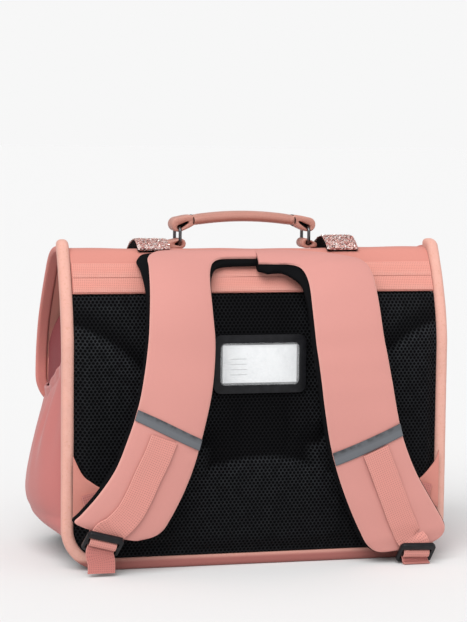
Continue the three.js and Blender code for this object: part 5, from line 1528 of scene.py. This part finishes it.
def leather_loop(name, sign, drop, eye, centre, width=21.0, edge=0.9):
    angles = np.linspace(0, 2 * np.pi, 72, endpoint=False)
    outer, inner = reach_of(drop, centre, angles), reach_of(eye, centre, angles)
    half = width / 2
    loop = [(outer, -half + edge), (outer, half - edge), (outer - edge * 0.3, half - edge * 0.3), (outer - edge, half),
            ((outer + inner) / 2, half + 0.3), (inner + edge, half), (inner, half - edge), (inner, -half + edge),
            (inner + edge, -half), ((outer + inner) / 2, -half - 0.3), (outer - edge, -half),
            (outer - edge * 0.3, -half + edge * 0.3)]
    grid = np.stack([np.stack([sign * (centre[0] + r * np.cos(angles)), RING_Y + np.full_like(angles, y),
                               centre[1] + r * np.sin(angles)], 1) for r, y in loop], 1)
    wear_and_highlight = np.tile([0.8, 0.8, 1, 0.7, 0, 0.2, 0, 0, 0.2, 0, 0.7, 1], (len(angles), 1))
    piece = skin(name, grid, True, True, wear_and_highlight=wear_and_highlight)
    # Painted shade: a black plug fills the eye round the ring.
    eye_shade = np.stack([np.stack([sign * (centre[0] + r * np.cos(angles)), RING_Y + np.full_like(angles, y),
                               centre[1] + r * np.sin(angles)], 1)
                     for r, y in ((inner + 0.4, -5.5), (inner + 0.4, 5.5), (inner * 0.02, 5.5), (inner * 0.02, -5.5))], 1)
    return piece, skin(name + "_core", eye_shade, True, True)


for name, sign in signs.items():
    upper, lower = RING_TOP - 1.6, RING_FOOT + 1.6
    drop = [(65.6, upper + 3.0, 7.0), (53.6, upper + 7.2, 5.0), (52.4, upper + 7.2, 4.9)]
    eye = [(65.0, upper + 0.5, 2.3), (56.5, upper + 5.4, 1.0)]
    loop, eye_shade = leather_loop(f"grip_loop_{name}", sign, drop, eye, (61.6, upper + 2.4))
    settle(loop, "handle leather", "pink_leather", f"handle_loop_{name}")
    settle(eye_shade, "black padding", "black_cloth")
    tail = 81.0 if sign < 0 else 74.6
    drop = [(63.4, lower - 0.1, 4.8), (tail - 2.6, lower - 1.6, 2.6)]
    eye = [(65.0, lower, 2.1), (68.5, lower - 0.5, 1.1)]
    anchor, eye_shade = leather_loop(f"anchor_{name}", sign, drop, eye, (66.2, lower - 0.2))
    settle(anchor, "handle leather", "pink_leather", f"ring_anchor_{name}")
    settle(eye_shade, "black padding", "black_cloth")
    turn = np.linspace(0, 2 * np.pi, 40, endpoint=False)
    collar = np.stack([np.full(40, sign * 51.2), RING_Y + 12.3 * np.cos(turn), grip_middle + 5.0 * np.sin(turn)], 1)
    collar[:, 1] = RING_Y + 12.2 * np.sign(np.cos(turn)) * np.abs(np.cos(turn)) ** 0.75
    bead = 0.55 * np.stack([np.cos(turn[::5]), np.sin(turn[::5])], 1)
    ring = sweep(f"grip_collar_{name}", collar, (1, 0, 0), bead, closed=True)
    settle(ring, "black padding", "black_cloth")

# %% [markdown]
# The floor is one wide pale sheet. It is as bright as the white world behind it, so no horizon shows.

# %% Floor
floor_mesh = bpy.data.meshes.new("floor")
floor_mesh.from_pydata([(-60, -60, 0), (60, -60, 0), (60, 60, 0), (-60, 60, 0)], [], [(0, 1, 2, 3)])
floor = bpy.data.objects.new("floor", floor_mesh)
bpy.context.scene.collection.objects.link(floor)
paint = bpy.data.materials.new("studio floor")
paint.use_nodes = True
paint.node_tree.nodes["Principled BSDF"].inputs["Base Color"].default_value = (0.774, 0.774, 0.774, 1)
paint.node_tree.nodes["Principled BSDF"].inputs["Roughness"].default_value = 1.0
paint.node_tree.nodes["Principled BSDF"].inputs["Specular IOR Level"].default_value = 0.0
floor.data.materials.append(paint)
